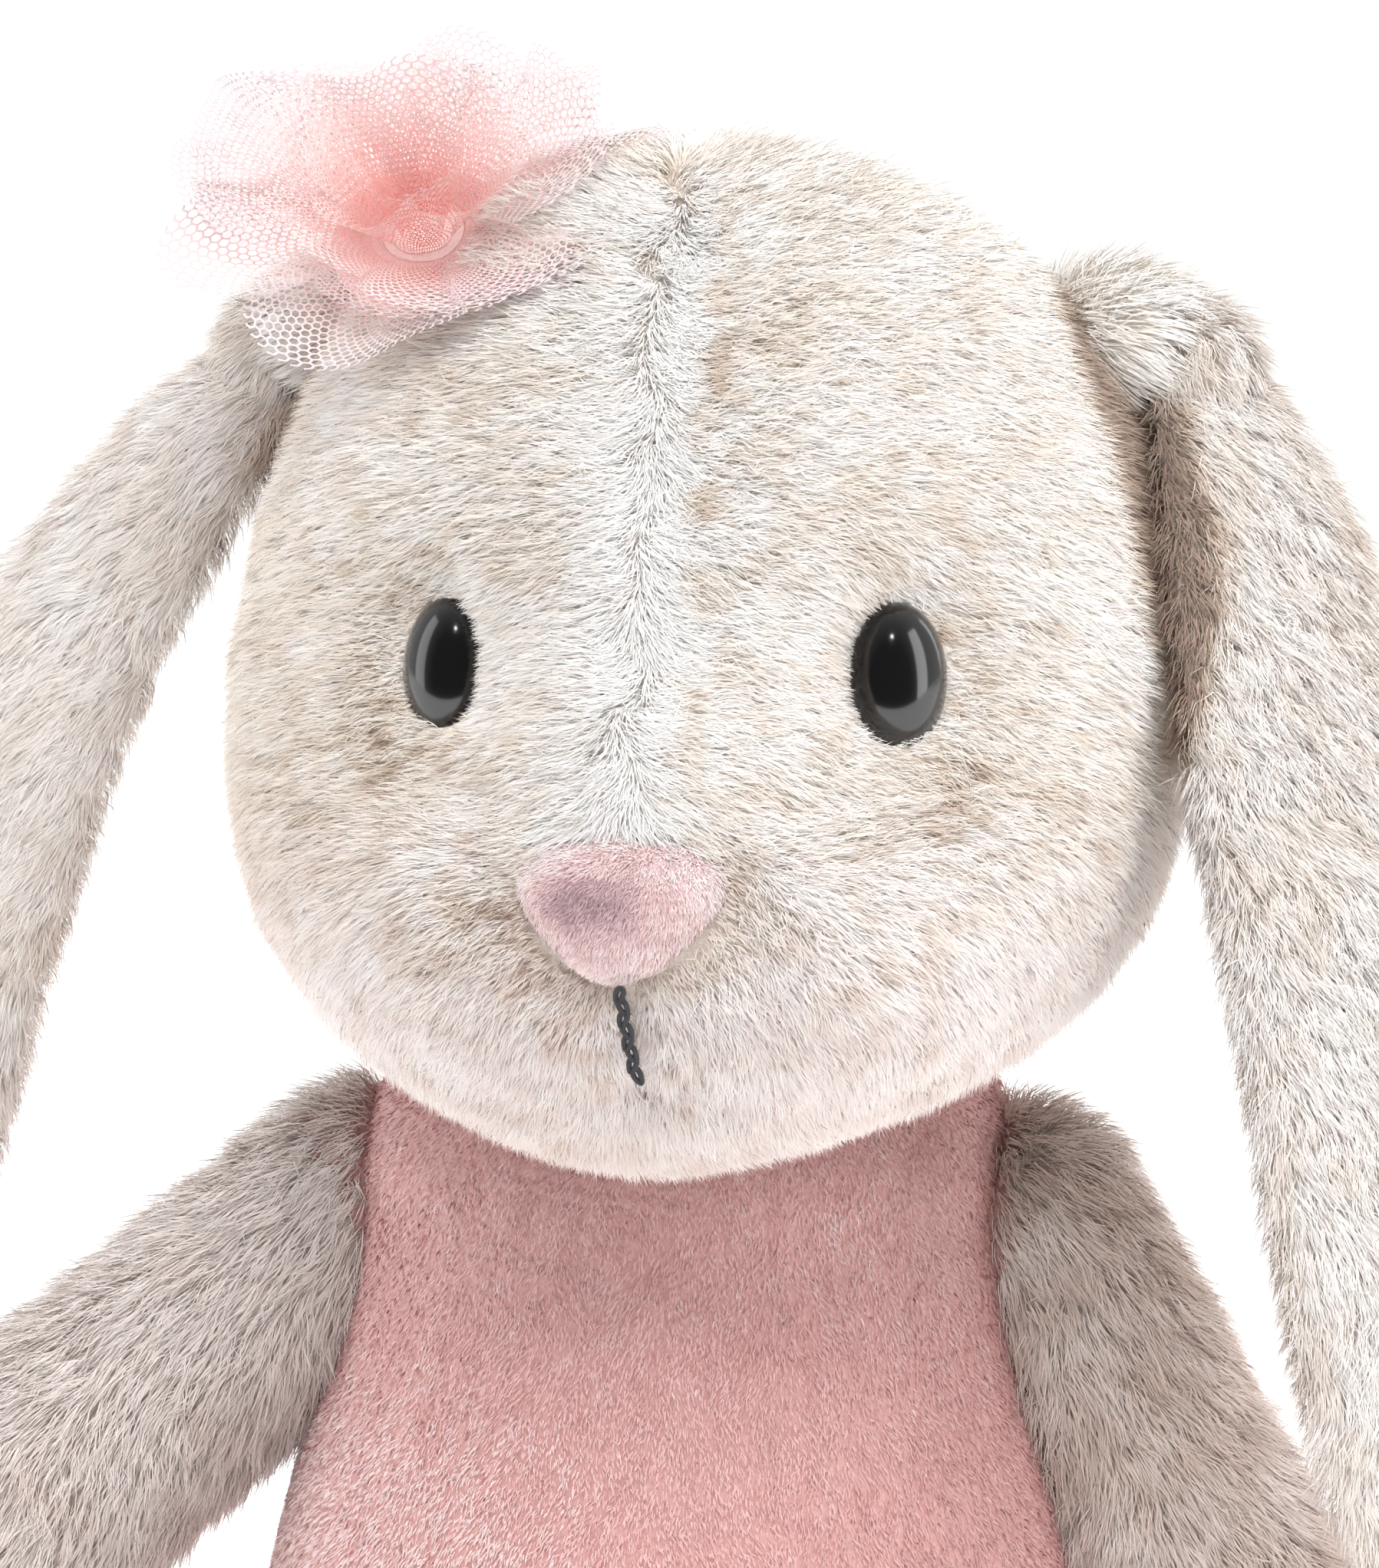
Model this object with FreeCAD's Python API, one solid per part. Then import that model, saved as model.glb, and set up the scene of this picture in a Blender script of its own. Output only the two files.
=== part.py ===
import FreeCAD, Part
import os
from math import cos, pi, radians, sin

# A seated plush rabbit with a velour body, long hanging ears and a tulle rosette.
# Millimetres, +Z up. The rabbit faces -Y, and its own left side is +X.
# The origin is the middle of the flat seat that it sits on.

V = FreeCAD.Vector

# Sewn skins
PLUSH = 4.0            # long-pile plush: backing and pile together
VELOUR = 2.0           # short-pile velour of the body
GAP = 0.6              # room between a limb and the skin that it is sewn against

# Head: its own axis stands at HEAD_X, HEAD_Y and its chin at HEAD_Z
HEAD_X = 4.5
HEAD_Y = -8.5
HEAD_Z = 92.0
HEAD_CENTRE = V(HEAD_X, HEAD_Y, HEAD_Z + 50.0)
HEAD_HALF = V(51.5, 52.0, 53.0)
FACE_POWER = 1.75      # below 2, the face comes forward to a soft ridge
ROUND_POWER = 2.0
# height above the chin, half width, front and back measured from the head's axis
HEAD_RINGS = (
    (0.6, 4.0, -33.0, -27.0),
    (2.5, 14.0, -38.5, -17.0),
    (6.0, 24.5, -44.0, 0.0),
    (11.0, 35.0, -48.5, 20.0),
    (17.0, 42.5, -52.5, 34.0),
    (25.0, 47.8, -55.0, 43.5),
    (35.0, 50.7, -54.0, 48.5),
    (45.0, 51.5, -50.0, 50.5),
    (56.0, 50.5, -44.0, 50.5),
    (67.0, 48.2, -38.5, 48.0),
    (77.0, 44.5, -33.0, 43.5),
    (86.0, 39.5, -27.5, 36.5),
    (94.0, 32.0, -20.5, 27.5),
    (100.0, 23.5, -14.0, 18.5),
    (104.0, 13.5, -7.5, 10.5),
    (106.0, 4.5, -1.0, 4.5),
)
BACK_SEAM_Y = HEAD_Y + 8.0   # the side panels meet the back panel here

# Neck: a ball-shaped top of the body sits in a hollow under the head
NECK = V(0.0, 6.0, 78.0)
NECK_R = 37.0
NECK_TURNS = (14.0, 28.0, 42.0, 55.0, 67.0, 78.0, 86.0)   # levels of the dome's rings, in degrees
BAND_IN = 37.3
BAND_OUT = 38.5
BAND_LOW = 23.5        # heights above the neck's centre
BAND_HIGH = 31.0
HOLLOW_R = 38.9

# Body, from the seat to the neck's widest level
BODY_Y = 6.0
BODY_CENTRE = V(0.0, BODY_Y, 55.0)
BODY_HALF = V(49.5, 44.5, 57.0)
# height, half width, front and back measured from the body's axis
BODY_RINGS = (
    (0.0, 40.0, -37.0, 33.0),
    (3.0, 45.0, -41.5, 38.5),
    (10.0, 48.5, -45.0, 41.0),
    (22.0, 49.5, -46.5, 42.0),
    (36.0, 47.0, -45.0, 41.5),
    (50.0, 43.5, -42.0, 40.5),
    (64.0, 39.5, -39.0, 39.0),
    (78.0, 37.0, -37.0, 37.0),
)
SEAT_PANEL_H = 5.0
BAG = V(0.0, BODY_Y, 16.0)
BAG_HALF = V(34.0, 30.0, 11.0)
BAG_WALL = 0.8

# Closing seam up the middle of the back
SEAM_R = 0.5
SEAM_POINTS = (V(0.0, 46.7, 48.0), V(0.0, 45.3, 62.0), V(0.0, 43.4, 76.0))

# Safety eyes: oval dome, ribbed shank through the plush, washer behind it
EYE_MID = HEAD_X + 1.75
EYE_X = 23.5
EYE_Z = HEAD_Z + 52.4
EYE_Y = HEAD_Y - 31.5
EYE_HALF = V(5.3, 4.6, 7.8)
EYE_AIM = V(0.40, -0.91, 0.10)
SHANK_R = 1.6
SHANK_L = 15.0
WASHER_R = 6.5
WASHER_T = 1.6
WASHER_BACK = 8.0

# Nose pad and mouth
NOSE_Z = HEAD_Z + 31.2
NOSE_FRONT = HEAD_Y - 56.8
NOSE_HALF_W = 11.0
NOSE_UP = 8.2
NOSE_DOWN = 8.2
NOSE_T = 5.0
NOSE_PADDING_T = 2.0
MOUTH_R = 0.8
MOUTH_X = HEAD_X + 1.4
MOUTH_TOP = HEAD_Z + 23.0
MOUTH_BOTTOM = HEAD_Z + 13.0

# Tulle rosette on the right side of the forehead, with its felt backing and rolled bud
ROSETTE = V(HEAD_X - 30.0, -15.0, HEAD_Z + 95.0)
ROSETTE_AIM = V(0.0, -0.72, 0.69)
ROSETTE_R = 25.0
ROSETTE_ROOT_R = 12.0
ROSETTE_H = 13.0
BUD_R = 5.0
BUD_H = 12.0
FELT_R = 10.0
FELT_T = 1.5

# Ears: a stub sewn into the head, and a long flap that hangs from a fold
EAR_BALL = 7.0
EAR_PLUSH = 5.5
EAR_LINING = 3.0
LINING_START = 1       # the lining begins at this point of the ear's middle line
EAR_HALF_WIDTHS = (6.0, 11.5, 15.0, 17.5, 19.5, 20.0, 17.5, 12.5, 4.0)
EAR_LEFT_LINE = (
    V(54.5, 4.0, 173.0), V(60.0, 1.0, 162.0), V(65.0, -4.0, 149.0),
    V(70.0, -11.0, 134.0), V(77.0, -18.0, 115.0), V(83.0, -25.0, 95.0),
    V(86.0, -31.0, 76.0), V(87.5, -34.0, 58.0), V(88.0, -35.0, 48.0),
)
EAR_RIGHT_LINE = (
    V(-45.5, 9.0, 173.0), V(-55.0, 10.5, 163.0), V(-67.0, 15.0, 149.0),
    V(-78.0, 21.0, 134.0), V(-87.0, 28.0, 118.0), V(-95.0, 34.5, 101.0),
    V(-100.0, 39.5, 84.0), V(-102.5, 43.5, 69.0), V(-103.5, 45.5, 60.0),
)
EAR_LEFT_WIDE = (V(0.50, 0.87, 0.0), V(0.80, 0.60, 0.0))
EAR_RIGHT_WIDE = (V(-0.70, 0.71, 0.0), V(-0.85, 0.53, 0.0))
STUB_LEFT = V(47.0, 4.0, 175.5)
STUB_RIGHT = V(-38.0, 8.5, 175.5)
STUB_HALF = V(10.0, 10.0, 8.0)

# Arms and legs: distance from the joint and radius of each ring, root ball first
ARM_RINGS = ((0.0, 12.0), (22.0, 12.8), (48.0, 13.8), (62.0, 14.0), (74.0, 10.0), (78.0, 0.0))
ARM_LEFT = V(36.5, 8.0, 77.5)
ARM_LEFT_WAY = V(0.45, 0.0, -0.89)
ARM_RIGHT = V(-35.5, 4.0, 78.5)
ARM_RIGHT_WAY = V(-0.74, -0.20, -0.64)
ARM_LEFT_TURNS = (0.0, 42.0, 85.0)
ARM_RIGHT_TURNS = (8.0, 0.0, -32.0, -65.0)
LEG_RINGS = ((0.0, 14.5), (20.0, 15.6), (48.0, 16.2), (62.0, 15.0), (71.0, 9.0), (74.0, 0.0))
HIP_X = 25.0
HIP_Y = -37.0
HIP_Z = 17.0
LEG_OUT = 0.30
FOOT_ALONG = 62.0
FOOT_HALF = V(13.0, 17.0, 22.5)
SOLE_T = 1.6
LEG_TURNS = (0.0, 25.0, 50.0)

# Tail
TAIL = V(0.0, 54.0, 21.0)
TAIL_R = 13.5


def ball(centre, radius):
    return Part.makeSphere(radius, centre)


def ellipsoid(centre, half):
    """An egg of the given half sizes along X, Y and Z."""
    shape = Part.makeSphere(1.0)
    matrix = FreeCAD.Matrix()
    matrix.scale(half)
    matrix.move(centre)
    return shape.transformGeometry(matrix)


def shrunk(shape, centre, half, wall):
    """The shape drawn in towards its centre by one wall thickness."""
    matrix = FreeCAD.Matrix()
    matrix.move(centre * -1.0)
    matrix.scale(V(1.0 - wall / half.x, 1.0 - wall / half.y, 1.0 - wall / half.z))
    matrix.move(centre)
    return shape.transformGeometry(matrix)


def slab(low, high):
    return Part.makeBox(high.x - low.x, high.y - low.y, high.z - low.z, low)


def one_solid(shape):
    """The single solid of a cut, without crumbs thinner than the cloth."""
    solids = sorted(shape.Solids, key=lambda s: s.Volume)
    return solids[-1]


def ring(height, half_width, front, back, axis_x, axis_y, front_power=ROUND_POWER):
    """A closed curve round the object, which may come forward to a soft ridge in front."""
    middle = 0.5 * (front + back)
    depth = 0.5 * (back - front)
    points = []
    for step in range(24):
        turn = 2.0 * pi * step / 24.0
        across = sin(turn)
        along = cos(turn)
        power = ROUND_POWER if along > 0.0 else front_power
        shape = 2.0 / power
        x = half_width * abs(across) ** shape * (1.0 if across > 0.0 else -1.0)
        y = depth * abs(along) ** shape * (1.0 if along > 0.0 else -1.0)
        points.append(V(axis_x + x, axis_y + middle + y, height))
    curve = Part.BSplineCurve()
    curve.interpolate(Points=points, PeriodicFlag=True)
    return Part.Wire([curve.toShape()])


def turned_limb(rings, inset=0.0):
    """A limb lying along +X: ball-shaped root, then a smooth outline to its tip."""
    root = rings[0][1] - inset
    start = V(0.0, root, 0.0)
    ball_arc = Part.Arc(V(-root, 0.0, 0.0), V(-root * sin(pi / 4), root * cos(pi / 4), 0.0), start)
    points = [start]
    for distance, radius in rings[1:-1]:
        points.append(V(distance, radius - inset, 0.0))
    points.append(V(rings[-1][0] - inset, 0.0, 0.0))
    outline = Part.BSplineCurve()
    outline.interpolate(Points=points, InitialTangent=V(1.0, 0.0, 0.0), FinalTangent=V(0.0, -1.0, 0.0))
    axis = Part.makeLine(points[-1], V(-root, 0.0, 0.0))
    profile = Part.Face(Part.Wire([ball_arc.toShape(), outline.toShape(), axis]))
    return profile.revolve(V(0.0, 0.0, 0.0), V(1.0, 0.0, 0.0), 360.0)


def placed(shape, root, way):
    copy = shape.copy()
    copy.Placement = FreeCAD.Placement(root, FreeCAD.Rotation(V(1.0, 0.0, 0.0), way))
    return copy


def swung(shape, centre, axis, degrees):
    copy = shape.copy()
    copy.rotate(centre, axis, degrees)
    return copy


def ear_layer(line, wide, depth, outward, first=0):
    """One cloth layer of an ear flap, lens-shaped in section, lofted down its middle line."""
    wires = []
    last = len(line) - 1
    for index in range(first, len(line)):
        centre = line[index]
        ahead = line[min(index + 1, last)] - line[max(index - 1, 0)]
        share = index / last
        across = wide[0] * (1.0 - share) + wide[1] * share
        across.normalize()
        normal = ahead.cross(across)
        normal.normalize()
        if normal.x * line[-1].x < 0.0:
            normal = normal * -1.0
        half = EAR_HALF_WIDTHS[index]
        thick = depth * (0.5 if index == last else 1.0)
        low = centre - across * half
        high = centre + across * half
        crown = centre + normal * (thick * outward)
        wires.append(Part.Wire([Part.Arc(low, crown, high).toShape(), Part.makeLine(high, low)]))
    return Part.makeLoft(wires, True, False)


def thread(points, radius):
    """A round thread along an arc through three points."""
    edge = Part.Arc(*points).toShape()
    circle = Part.makeCircle(radius, points[0], edge.tangentAt(edge.FirstParameter))
    return Part.Wire([edge]).makePipeShell([Part.Wire([circle])], True, False)


def build_head():
    wires = [
        ring(HEAD_Z + z, half, front, back, HEAD_X, HEAD_Y, FACE_POWER) for z, half, front, back in HEAD_RINGS
    ]
    outer = Part.makeLoft(wires, True, False)
    hollow = ball(NECK, HOLLOW_R)
    inner = shrunk(outer, HEAD_CENTRE, HEAD_HALF, PLUSH)
    return outer, outer.cut(inner).cut(hollow), inner.cut(hollow)


def build_eye(side):
    """Dome and shank in one moulded piece, and the washer pressed on behind the plush."""
    aim = V(EYE_AIM.x * side, EYE_AIM.y, EYE_AIM.z)
    aim.normalize()
    dome = Part.makeSphere(1.0)
    matrix = FreeCAD.Matrix()
    matrix.scale(EYE_HALF)
    dome = dome.transformGeometry(matrix).cut(slab(V(-20, 0, -20), V(20, 20, 20)))
    shank = Part.makeCylinder(SHANK_R, SHANK_L, V(0, 0, 0), V(0, 1, 0))
    eye = dome.fuse(shank)
    washer = Part.makeCylinder(WASHER_R, WASHER_T, V(0, WASHER_BACK, 0), V(0, 1, 0))
    washer = washer.cut(Part.makeCylinder(SHANK_R + 0.05, SHANK_L, V(0, 0, 0), V(0, 1, 0)))
    seat = V(EYE_MID + EYE_X * side, EYE_Y, EYE_Z)
    placement = FreeCAD.Placement(seat, FreeCAD.Rotation(V(0, -1, 0), aim))
    for piece in (eye, washer):
        piece.Placement = placement
    return eye, washer


def build_nose():
    """A rounded triangle pad, point down, with a thin padding behind it."""
    top = NOSE_Z + NOSE_UP
    tip = NOSE_Z - NOSE_DOWN
    corner_z = NOSE_Z + 0.45 * NOSE_UP
    points = [
        V(HEAD_X, 0, top),
        V(HEAD_X + 0.62 * NOSE_HALF_W, 0, top - 0.4),
        V(HEAD_X + NOSE_HALF_W, 0, corner_z),
        V(HEAD_X + 0.62 * NOSE_HALF_W, 0, NOSE_Z - 0.35 * NOSE_DOWN),
        V(HEAD_X, 0, tip),
        V(HEAD_X - 0.62 * NOSE_HALF_W, 0, NOSE_Z - 0.35 * NOSE_DOWN),
        V(HEAD_X - NOSE_HALF_W, 0, corner_z),
        V(HEAD_X - 0.62 * NOSE_HALF_W, 0, top - 0.4),
    ]
    outline = Part.BSplineCurve()
    outline.interpolate(Points=points, PeriodicFlag=True)
    face = Part.Face(Part.Wire([outline.toShape()]))
    face.translate(V(0, NOSE_FRONT, 0))
    pad = face.extrude(V(0, NOSE_T, 0))
    back = face.copy()
    back.translate(V(0, NOSE_T, 0))
    padding = back.extrude(V(0, NOSE_PADDING_T, 0))
    return pad, padding


def build_mouth():
    """One line of thick thread from under the nose down over the chin."""
    top = V(MOUTH_X, HEAD_Y - 54.4, MOUTH_TOP)
    middle = V(MOUTH_X, HEAD_Y - 53.2, 0.5 * (MOUTH_TOP + MOUTH_BOTTOM) - 0.3)
    low = V(MOUTH_X, HEAD_Y - 50.2, MOUTH_BOTTOM)
    return thread((top, middle, low), MOUTH_R)


def build_rosette():
    """A wide gathered cone of tulle, its rolled bud, and the felt disc it is sewn to."""
    up = V(0, 0, 1)
    origin = V(0, 0, 0)
    felt = Part.makeCylinder(FELT_R, FELT_T, origin, up)
    bud_low = V(0, 0, FELT_T)
    bud = Part.makeCone(BUD_R * 0.6, BUD_R, BUD_H, bud_low, up)
    tulle = Part.makeCone(ROSETTE_ROOT_R, ROSETTE_R, ROSETTE_H, bud_low, up)
    tulle = tulle.cut(Part.makeCone(BUD_R * 0.6 + 0.3, BUD_R + 0.8, ROSETTE_H + 1.0, bud_low, up))
    placement = FreeCAD.Placement(ROSETTE, FreeCAD.Rotation(up, ROSETTE_AIM))
    for piece in (felt, bud, tulle):
        piece.Placement = placement
    return tulle, bud, felt


def build_ear(line, wide, stub_centre, head):
    plush = ear_layer(line, wide, EAR_PLUSH, 1.0).fuse(ball(line[0], EAR_BALL))
    lining = ear_layer(line, wide, EAR_LINING, -1.0, LINING_START)
    stub = ellipsoid(stub_centre, STUB_HALF)
    room = ball(line[0], EAR_BALL + 2.0 * GAP)
    stub = stub.cut(head).cut(room)
    return one_solid(plush), one_solid(lining), one_solid(stub), room


def build_leg(side):
    way = V(LEG_OUT * side, -1.0, 0.0)
    way.normalize()
    hip = V(HIP_X * side, HIP_Y, HIP_Z)
    outer = turned_limb(LEG_RINGS)
    inner = turned_limb(LEG_RINGS, PLUSH)
    foot_centre = V(FOOT_ALONG, 0.0, FOOT_HALF.z - HIP_Z + 0.4)
    foot = ellipsoid(foot_centre, FOOT_HALF)
    foot_in = ellipsoid(foot_centre, V(FOOT_HALF.x - PLUSH, FOOT_HALF.y - PLUSH, FOOT_HALF.z - PLUSH))
    outer = outer.fuse(foot)
    inner = inner.fuse(foot_in)
    front = FOOT_ALONG + FOOT_HALF.x - SOLE_T - 1.0
    cutter = slab(V(front, -40, -40), V(front + 40, 40, 60))
    sole = foot.common(slab(V(front, -40, -40), V(front + SOLE_T, 40, 60)))
    outer = outer.cut(cutter)
    inner = inner.common(slab(V(-60, -40, -40), V(front - 1.0, 40, 60)))
    shell = outer.cut(inner)
    pieces = [placed(one_solid(s), hip, way) for s in (shell, inner, sole)]
    return pieces, limb_rooms(LEG_RINGS, hip, way, V(-1, 0, 0), LEG_TURNS)


def limb_rooms(rings, root, way, axis, turns):
    """The spaces that a limb takes up at each of the turns of its joint, with a gap round it."""
    limb = placed(turned_limb(rings, -GAP), root, way)
    return [swung(limb, root, axis, turn) for turn in turns]


parts = {}

# Head, with its eyes, nose, mouth, rosette and ear stubs
head, head_skin, head_fill = build_head()
nose, nose_padding = build_nose()
mouth = build_mouth()
rosette, bud, felt = build_rosette()
ears = {}
ears["left"] = build_ear(EAR_LEFT_LINE, EAR_LEFT_WIDE, STUB_LEFT, head)
ears["right"] = build_ear(EAR_RIGHT_LINE, EAR_RIGHT_WIDE, STUB_RIGHT, head)
trim = [nose, nose_padding, mouth, rosette, bud, felt]
for name, side in (("left", 1.0), ("right", -1.0)):
    eye, washer = build_eye(side)
    parts["eye_" + name] = one_solid(eye)
    parts["eye_washer_" + name] = one_solid(washer)
    trim += [eye, washer]
for plush, lining, stub, room in ears.values():
    trim.append(room)
for piece in trim:
    head_skin = head_skin.cut(piece)
    head_fill = head_fill.cut(piece)
big = 200.0
left_half = slab(V(HEAD_X, -big, 0), V(big, BACK_SEAM_Y, big * 2))
right_half = slab(V(-big, -big, 0), V(HEAD_X, BACK_SEAM_Y, big * 2))
back_half = slab(V(-big, BACK_SEAM_Y, 0), V(big, big, big * 2))
parts["head_plush_left"] = one_solid(head_skin.common(left_half))
parts["head_plush_right"] = one_solid(head_skin.common(right_half))
parts["head_plush_back"] = one_solid(head_skin.common(back_half))
parts["head_stuffing"] = one_solid(head_fill)
parts["nose_pad"] = one_solid(nose)
parts["nose_padding"] = one_solid(nose_padding)
parts["mouth_stitch"] = one_solid(mouth)
parts["rosette_tulle"] = one_solid(rosette.cut(head))
parts["rosette_bud"] = one_solid(bud)
parts["rosette_felt"] = one_solid(felt)
for name, (plush, lining, stub, room) in ears.items():
    parts["ear_stub_" + name] = stub
    parts["ear_plush_" + name] = plush
    parts["ear_lining_" + name] = lining

# Neck band
band = ball(NECK, BAND_OUT).cut(ball(NECK, BAND_IN))
band_low = V(-big, -big, NECK.z + BAND_LOW)
band_high = V(big, big, NECK.z + BAND_HIGH)
parts["neck_band"] = one_solid(band.common(slab(band_low, band_high)))

# Arms
arm_outer = turned_limb(ARM_RINGS)
arm_inner = turned_limb(ARM_RINGS, PLUSH)
arms = {
    "left": (ARM_LEFT, ARM_LEFT_WAY, ARM_LEFT_TURNS),
    "right": (ARM_RIGHT, ARM_RIGHT_WAY, ARM_RIGHT_TURNS),
}
rooms = []
for name, (root, way, turns) in arms.items():
    parts["arm_plush_" + name] = placed(one_solid(arm_outer.cut(arm_inner)), root, way)
    parts["arm_stuffing_" + name] = placed(one_solid(arm_inner), root, way)
    rooms += limb_rooms(ARM_RINGS, root, way, V(0, -1, 0), turns)

# Legs
for name, side in (("left", 1.0), ("right", -1.0)):
    (shell, inner, sole), leg_rooms = build_leg(side)
    parts["leg_plush_" + name] = shell
    parts["leg_stuffing_" + name] = inner
    parts["sole_" + name] = sole
    rooms += leg_rooms

# Body: skin panels, stuffing, and a bag of pellets low in the seat for weight
wires = [ring(z, half, front, back, 0.0, BODY_Y) for z, half, front, back in BODY_RINGS]
for turn in NECK_TURNS:
    height = NECK.z + NECK_R * sin(radians(turn))
    radius = NECK_R * cos(radians(turn))
    wires.append(ring(height, radius, -radius, radius, 0.0, BODY_Y))
body = Part.makeLoft(wires, True, False)
body_in = shrunk(body, BODY_CENTRE, BODY_HALF, VELOUR)
for room in rooms:
    body = body.cut(room)
    body_in = body_in.cut(room)
seam = thread(SEAM_POINTS, SEAM_R)
parts["back_seam"] = one_solid(seam)
skin = body.cut(body_in).cut(seam)
seat_zone = slab(V(-big, -big, -1), V(big, big, SEAT_PANEL_H))
front_zone = slab(V(-big, -big, SEAT_PANEL_H), V(big, BODY_Y, big))
parts["body_seat"] = one_solid(skin.common(seat_zone))
parts["body_front"] = one_solid(skin.common(front_zone))
for name, side in (("left", 1.0), ("right", -1.0)):
    low_x = 0.0 if side > 0.0 else -big
    back_zone = slab(V(low_x, BODY_Y, SEAT_PANEL_H), V(low_x + big, big, big))
    parts["body_back_" + name] = one_solid(skin.common(back_zone))
bag = ellipsoid(BAG, BAG_HALF)
pellets = shrunk(bag, BAG, BAG_HALF, BAG_WALL)
parts["pellet_bag"] = one_solid(bag.cut(pellets))
parts["pellets"] = one_solid(pellets)
parts["body_stuffing"] = one_solid(body_in.cut(bag))

# Tail
tail = ball(TAIL, TAIL_R).cut(body)
tail_in = ball(TAIL, TAIL_R - PLUSH).cut(body)
parts["tail_plush"] = one_solid(tail.cut(tail_in))
parts["tail_stuffing"] = one_solid(tail_in)

os.makedirs("parts", exist_ok=True)
for node, shape in parts.items():
    shape.exportStep("parts/" + node + ".step")
    box = shape.BoundBox
    print(node, shape.isValid(), round(shape.Volume), [round(v, 1) for v in (
        box.XMin, box.XMax, box.YMin, box.YMax, box.ZMin, box.ZMax)])
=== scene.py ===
from math import cos, pi, radians, sin

import bpy
import numpy as np
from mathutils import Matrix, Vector, kdtree


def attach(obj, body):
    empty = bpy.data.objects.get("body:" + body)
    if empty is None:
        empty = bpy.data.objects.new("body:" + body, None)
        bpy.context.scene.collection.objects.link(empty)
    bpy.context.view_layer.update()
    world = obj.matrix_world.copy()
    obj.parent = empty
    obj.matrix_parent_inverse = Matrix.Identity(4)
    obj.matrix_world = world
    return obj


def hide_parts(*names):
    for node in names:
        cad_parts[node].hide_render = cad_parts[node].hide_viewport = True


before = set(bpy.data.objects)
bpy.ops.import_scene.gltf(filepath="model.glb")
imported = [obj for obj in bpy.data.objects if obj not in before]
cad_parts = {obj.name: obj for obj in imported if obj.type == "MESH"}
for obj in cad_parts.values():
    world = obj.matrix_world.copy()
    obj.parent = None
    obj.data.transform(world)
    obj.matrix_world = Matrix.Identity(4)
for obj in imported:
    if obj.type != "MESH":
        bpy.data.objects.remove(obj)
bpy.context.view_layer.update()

# A seated plush rabbit. Shapes are worked out in millimetres and made in metres.
# It faces -Y and its own left side is +X, as in the frame.

rng = np.random.default_rng(54)
MM = 0.001

# Size of the grain in every cloth
GRAIN = 0.35

# How many hairs stand on each part
share = 1.0
FUR_HEAD = int(300000 * share)
FUR_EAR = int(80000 * share)
FUR_LINING = int(16000 * share)
FUR_STUB = int(7000 * share)
FUR_ARM = int(44000 * share)
FUR_LEG = int(26000 * share)
FUR_TAIL = int(6000 * share)
NAP_BODY = int(150000 * share)

# Head
HEAD = np.array((4.5, -8.5, 92.0))
FACE_POWER = 1.75
HEAD_RINGS = np.array((
    (0.6, 4.0, -33.0, -27.0), (2.5, 14.0, -38.5, -17.0), (6.0, 24.5, -44.0, 0.0),
    (11.0, 35.0, -48.5, 20.0), (17.0, 42.5, -52.5, 34.0), (25.0, 47.8, -55.0, 43.5),
    (35.0, 50.7, -54.0, 48.5), (45.0, 51.5, -50.0, 50.5), (56.0, 50.5, -44.0, 50.5),
    (67.0, 48.2, -38.5, 48.0), (77.0, 44.5, -33.0, 43.5), (86.0, 39.5, -27.5, 36.5),
    (94.0, 32.0, -20.5, 27.5), (100.0, 23.5, -14.0, 18.5), (104.0, 13.5, -7.5, 10.5),
    (106.0, 4.5, -1.0, 4.5),
))
NECK = np.array((0.0, 6.0, 78.0))
HOLLOW_R = 38.9
EYE_SEATS = {"left": np.array((29.75, -40.0, 144.4)), "right": np.array((-17.25, -40.6, 144.4))}
EYE_AIMS = {"left": np.array((0.40, -0.91, 0.10)), "right": np.array((-0.40, -0.91, 0.10))}
EYE_HALF = np.array((5.3, 4.6, 7.8))
EYES_MID_X = 6.25
NOSE = np.array((4.7, -65.3, 123.2))
NOSE_HALF_W = 11.0
NOSE_HALF_H = 8.2
MOUTH_X = 5.9
MOUTH_TOP = 115.2
MOUTH_LOW = 105.0

# Body
BODY_Y = 6.0
BODY_RINGS = np.array((
    (0.0, 40.0, -37.0, 33.0), (3.0, 45.0, -41.5, 38.5), (10.0, 48.5, -45.0, 41.0),
    (22.0, 49.5, -46.5, 42.0), (36.0, 47.0, -45.0, 41.5), (50.0, 43.5, -42.0, 40.5),
    (64.0, 39.5, -39.0, 39.0), (78.0, 37.0, -37.0, 37.0),
))
NECK_R = 37.0
SEAT_PANEL_H = 5.0

# Limbs: distance from the joint and radius
ARM_RINGS = ((0.0, 12.0), (22.0, 12.8), (48.0, 13.8), (62.0, 14.0), (74.0, 10.0), (78.0, 0.0))
ARMS = {
    "left": (np.array((36.5, 8.0, 77.5)), np.array((0.45, 0.0, -0.89))),
    "right": (np.array((-35.5, 4.0, 78.5)), np.array((-0.74, -0.20, -0.64))),
}
LEG_RINGS = ((0.0, 14.5), (20.0, 15.6), (48.0, 16.2), (62.0, 15.0), (71.0, 9.0), (74.0, 0.0))
LEGS = {
    "left": (np.array((25.0, -37.0, 17.0)), np.array((0.30, -1.0, 0.0))),
    "right": (np.array((-25.0, -37.0, 17.0)), np.array((-0.30, -1.0, 0.0))),
}
FOOT_ALONG = 62.0
FOOT_RISE = 6.1
FOOT_HALF = np.array((13.0, 17.0, 22.5))
LEG_STOP = 68.0
TAIL = np.array((0.0, 54.0, 21.0))
TAIL_R = 12.5
STAND_OFF = 0.15

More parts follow.
